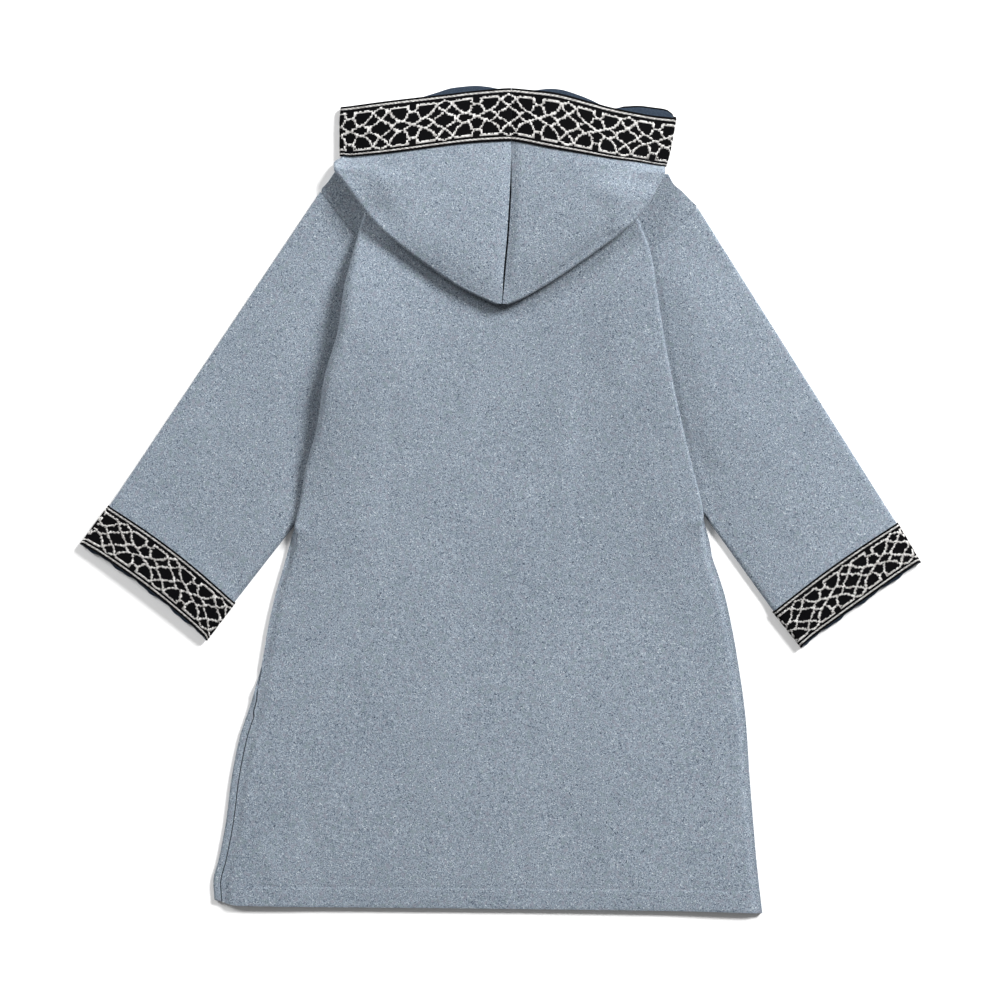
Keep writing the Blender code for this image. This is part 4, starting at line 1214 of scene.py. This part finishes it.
def lattice(u, v, half_repeat):
    """Distance to the nearest line of the lattice, u along from a diamond's middle and v across. Both
    are mirrored into the quarter, where each line's nearest point is a share of the way along it."""
    u = np.abs((u + half_repeat) % (2 * half_repeat) - half_repeat)
    v = np.abs(v)
    nearest = np.full(np.broadcast(u, v).shape, RIBBON_WIDTH)
    for (u0, v0), (u1, v1) in QUARTER * (half_repeat, RIBBON_HALF):
        du, dv = u1 - u0, v1 - v0
        share = np.clip(((u - u0) * du + (v - v0) * dv) / (du * du + dv * dv), 0, 1)
        nearest = np.minimum(nearest, np.hypot(u - u0 - share * du, v - v0 - share * dv))
    return nearest


print("lines in a quarter repeat:", len(QUARTER))

# %% The pattern on point paper
LATTICE_MIDDLE = 0.505 # share of the ribbon's width where the lattice's middle lies
LINE_HALF = 0.98       # half the width of a silver line
RAGGED = 0.34          # how unevenly a square beside a line is silver or black
RAGGED_SEED = 7
SQUARE = 1.25          # side of a square of the point paper
WEFT = 0.5             # distance between wefts
ROPES = (0.062, 0.945) # shares of the width where the two twisted border lines lie
ROPE_HALF = 2.5        # half a rope's width, in cells of one weft's width
ROPE_TWIST = 8         # wefts from one black gap of the twist to the next


def point_paper(length, first_diamond, half_repeat):
    """Silver or not, for each weft along the ribbon and each cell across it. A square is silver where
    its middle is near a line, and a rope's gap moves by two wefts from cell to cell."""
    wefts = np.arange(int(length / WEFT) - 1)[:, None]
    cells = np.arange(int(RIBBON_WIDTH / WEFT))[None]
    row, column = (np.floor(line * WEFT / SQUARE).astype(int) for line in (wefts, cells))
    u = (row + 0.5) * SQUARE - first_diamond
    v = (column + 0.5) * SQUARE - LATTICE_MIDDLE * RIBBON_WIDTH
    size = (row.max() + 1, column.max() + 1)
    uneven = np.random.default_rng(RAGGED_SEED).uniform(-RAGGED, RAGGED, size)
    paper = lattice(u, v, half_repeat) < LINE_HALF + uneven[row, column]
    for share in ROPES:
        off = cells - round(share * RIBBON_WIDTH / WEFT)
        twisted = (wefts + 2 * off) % ROPE_TWIST < ROPE_TWIST - 1
        paper |= (np.abs(off + 0.5) < ROPE_HALF) & twisted
    return paper


print("silver share of 100 mm of ribbon:", round(float(point_paper(100.0, 0.0, 28.0).mean()), 2))

# %% The shape of a float
BAR_HALF = 0.26        # half the width of a float
BAR_HEIGHT = 0.14
BAR_SINK = 0.12        # how deep its ends dip into the ground
# a bar's points: along its length (0 its start, 1 its end), mm inwards from there, across, height
BAR = np.array(((0, -0.1, 0, -BAR_SINK), (0, 0.22, -BAR_HALF, -0.05), (0, 0.22, 0, BAR_HEIGHT),
                (0, 0.22, BAR_HALF, -0.05), (1, -0.22, -BAR_HALF, -0.05), (1, -0.22, 0, BAR_HEIGHT),
                (1, -0.22, BAR_HALF, -0.05), (1, 0.1, 0, -BAR_SINK)))
BAR_FACES = np.array(((0, 1, 2), (0, 2, 3), (0, 3, 1), (1, 4, 5), (1, 5, 2), (2, 5, 6), (2, 6, 3),
                      (3, 6, 4), (3, 4, 1), (7, 5, 4), (7, 6, 5), (7, 4, 6)))
print("points of a float:", len(BAR), "and faces:", len(BAR_FACES))


# %% The floats of a ribbon
def between(values, rows, columns):
    """Values of a grid at places between its points, weighted by how near each corner is."""
    row = np.clip(rows.astype(int), 0, values.shape[0] - 2)
    column = np.clip(columns.astype(int), 0, values.shape[1] - 2)
    down, right = (rows - row)[..., None], (columns - column)[..., None]
    upper = values[row, column] * (1 - right) + values[row, column + 1] * right
    lower = values[row + 1, column] * (1 - right) + values[row + 1, column + 1] * right
    return upper * (1 - down) + lower * down


def floats(name, grid, closed, first_diamond, half_repeat):
    """All floats of one ribbon in one mesh. A run of silver squares on a weft is found where the paper
    changes, and its bar's points are placed on the ribbon's face between the grid's points."""
    if closed:
        grid = np.concatenate((grid, grid[:, :1]), axis=1)
    reach = along_ribbon(grid)
    paper = point_paper(reach[-1], first_diamond, half_repeat).astype(int)
    change = np.diff(np.pad(paper, ((0, 0), (1, 1))), axis=1)
    weft, start = np.nonzero(change == 1)
    end = np.nonzero(change == -1)[1]
    ends = np.column_stack((start, end)) * WEFT
    v = ends[:, BAR[:, 0].astype(int)] + BAR[:, 1]
    u = ((weft + 0.5) * WEFT)[:, None] + BAR[:, 2]
    rows = np.clip(v / RIBBON_WIDTH, 0, 1) * (grid.shape[0] - 1)
    columns = np.interp(u, reach, np.arange(len(reach)))
    normals = grid_normals(grid)
    points = between(grid + normals * (RIBBON / 2), rows, columns)
    points = points + between(normals, rows, columns) * BAR[:, 3:]
    mesh = bpy.data.meshes.new(name)
    faces = BAR_FACES[None] + len(BAR) * np.arange(len(weft))[:, None, None]
    mesh.from_pydata(((points + SHIFT) * MM).reshape(-1, 3), [], faces.reshape(-1, 3))
    first = points[0]
    if np.cross(first[4] - first[1], first[5] - first[1]) @ (first[1] - first[3]) < 0:
        mesh.flip_normals()
    mesh.shade_smooth()
    print(name, "floats:", len(weft))
    return add_piece(name, mesh, [silver])


# where each ribbon's first diamond lies along it, and half its repeat, in mm
REPEATS = {"left_hood_ribbon": (2.4, 30.2), "right_hood_ribbon": (-2.7, 28.15),
           "left_cuff_ribbon": (23.5, 28.25), "right_cuff_ribbon": (9.2, 27.1)}
threads = {name: floats(name.replace("ribbon", "silver"), points, "cuff" in name, *REPEATS[name])
           for name, points in ribbon_points.items()}

# %% [markdown]
# ## Floor, light and camera
# The robe lies on white paper and is seen straight from above. One large soft light would show the
# wool but hardly the folds. So a stronger one stands low at the upper right, which leaves the left
# fold's slope dark, and a weaker one at the upper left, and a little light comes from everywhere.

# %% The floor
FLOOR_HALF = 4.0
floor_mesh = bpy.data.meshes.new("floor")
floor_corners = [(x * FLOOR_HALF, y * FLOOR_HALF, 0) for x, y in ((-1, -1), (1, -1), (1, 1), (-1, 1))]
floor_mesh.from_pydata(floor_corners, [], [(0, 1, 2, 3)])
floor = bpy.data.objects.new("floor", floor_mesh)
bpy.context.scene.collection.objects.link(floor)
add, finish = new_material("floor paper", 0.9, Specular_IOR_Level=0.1)
place = add("ShaderNodeTexCoord", {}, output=3)
paper_tone = mixed(add, noise(add, place, 300.0), (0.90, 0.90, 0.90, 1), (0.915, 0.915, 0.915, 1))
floor_mesh.materials.append(finish(paper_tone, bump(add, noise(add, place, 3.0), 0.01)))
print("floor:", 2 * FLOOR_HALF, "m wide")

# %% The lights
# place in metres, and power in watts
LIGHTS = {"key window": ((3.90, 3.58, 3.05), 900), "fill window": ((-3.98, 3.34, 3.05), 290)}
LIGHT_SIZE = 2.2       # metres across
ROOM_LIGHT = 0.24      # strength of the light from everywhere

for name, (place, power) in LIGHTS.items():
    light = bpy.data.lights.new(name, "AREA")
    light.shape = "DISK"
    light.size = LIGHT_SIZE
    light.energy = power
    lamp = bpy.data.objects.new(name, light)
    bpy.context.scene.collection.objects.link(lamp)
    lamp.location = place
    lamp.rotation_euler = (-Vector(place)).to_track_quat("-Z", "Y").to_euler()
world = bpy.data.worlds.new("studio")
bpy.context.scene.world = world
world.use_nodes = True
background = world.node_tree.nodes["Background"]
background.inputs["Color"].default_value = (1, 1, 1, 1)
background.inputs["Strength"].default_value = ROOM_LIGHT
bpy.context.scene.view_settings.view_transform = "Standard"
print("lights:", list(LIGHTS))

# %% The camera
PHOTO_SIDE = 0.94      # metres of floor across the picture
LENS, SENSOR = 100, 36 # in mm
AIM = (-0.00045, -0.00051)    # point of the floor in the middle of the picture
camera_data = bpy.data.cameras.new("camera")
camera_data.sensor_width = SENSOR
camera_data.lens = LENS
camera = bpy.data.objects.new("camera", camera_data)
bpy.context.scene.collection.objects.link(camera)
camera.location = (*AIM, PHOTO_SIDE * LENS / SENSOR)
bpy.context.scene.camera = camera
print("camera height:", round(camera.location.z, 3), "m")

# %% [markdown]
# ## The pieces and their solids
# Each piece stands for one imported solid, which is hidden, and rides on the root body. That could be
# set on each object by hand, but a table from node to piece and grid keeps it in one place. The
# silver threads stand for no solid, ride on the root body too, and lie on the ribbon under them.

# %% Nodes and what the pieces ride on
pieces = {"front": (front, front_points), "back": (back, back_points)}
pieces |= {f"sleeve_{s}": (sleeves[s], sleeve_points[s]) for s in SIDES}
pieces |= {f"hood_{s}": (hoods[s], hood_points[s]) for s in SIDES}
pieces |= {f"{place}_trim_{s}": (ribbons[f"{s}_{place}_ribbon"], ribbon_points[f"{s}_{place}_ribbon"])
           for place in ("hood", "cuff") for s in SIDES}
for node, (piece, _) in pieces.items():
    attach(piece, "root")
    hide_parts(node)
    "ribbon" if "trim" in node else "wool"
for piece in threads.values():
    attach(piece, "root")
print("solids replaced:", len(pieces), "and pieces of thread:", len(threads))

# %% The flat cut of each sheet
# width and length of each flat cut and its area in metres, all round on a tube, and what it lies on
CUTS = {
    "front": ((0.53, 0.71), 0.270, "laid", ["floor"]),
    "back": ((0.51, 0.71), 0.288, "folded", ["front_panel"]),
    "sleeve_left": ((0.68, 0.40), 0.100, "laid", ["floor"]),
    "sleeve_right": ((0.64, 0.39), 0.099, "laid", ["floor"]),
    "hood_left": ((0.33, 0.205), 0.049, "folded", ["back_panel"]),
    "hood_right": ((0.32, 0.205), 0.044, "folded", ["back_panel"]),
    "hood_trim_left": ((0.33, 0.050), 0.0162, "folded", ["left_hood"]),
    "hood_trim_right": ((0.312, 0.050), 0.0155, "folded", ["right_hood"]),
    "cuff_trim_left": ((0.31, 0.0445), 0.0137, "folded", ["left_sleeve"]),
    "cuff_trim_right": ((0.294, 0.0445), 0.0128, "folded", ["right_sleeve"]),
}
for node, (flat, area, held, rests_on) in CUTS.items():
    piece = pieces[node][0]
    with_pieces = [threads[piece.name]] if "trim" in node else []
    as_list(rests_on)
print("cloth pieces declared:", len(CUTS))


# %% The area of each grid, to hold against the cuts
def wall_area(grid, closed):
    """Area of a grid of points in square metres, from the two triangles of each quad."""
    if closed:
        grid = np.concatenate((grid, grid[:, :1]), axis=1)
    a, b, c, d = grid[:-1, :-1], grid[:-1, 1:], grid[1:, 1:], grid[1:, :-1]
    quads = (np.linalg.norm(np.cross(b - a, c - a), axis=-1)
             + np.linalg.norm(np.cross(c - a, d - a), axis=-1)) / 2
    return float(quads.sum()) * MM * MM


for node, (_, grid) in pieces.items():
    area = wall_area(grid, "sleeve" in node or "cuff" in node)
    print(node, "grid", round(area, 4), "and cut", CUTS[node][1], "square metres")
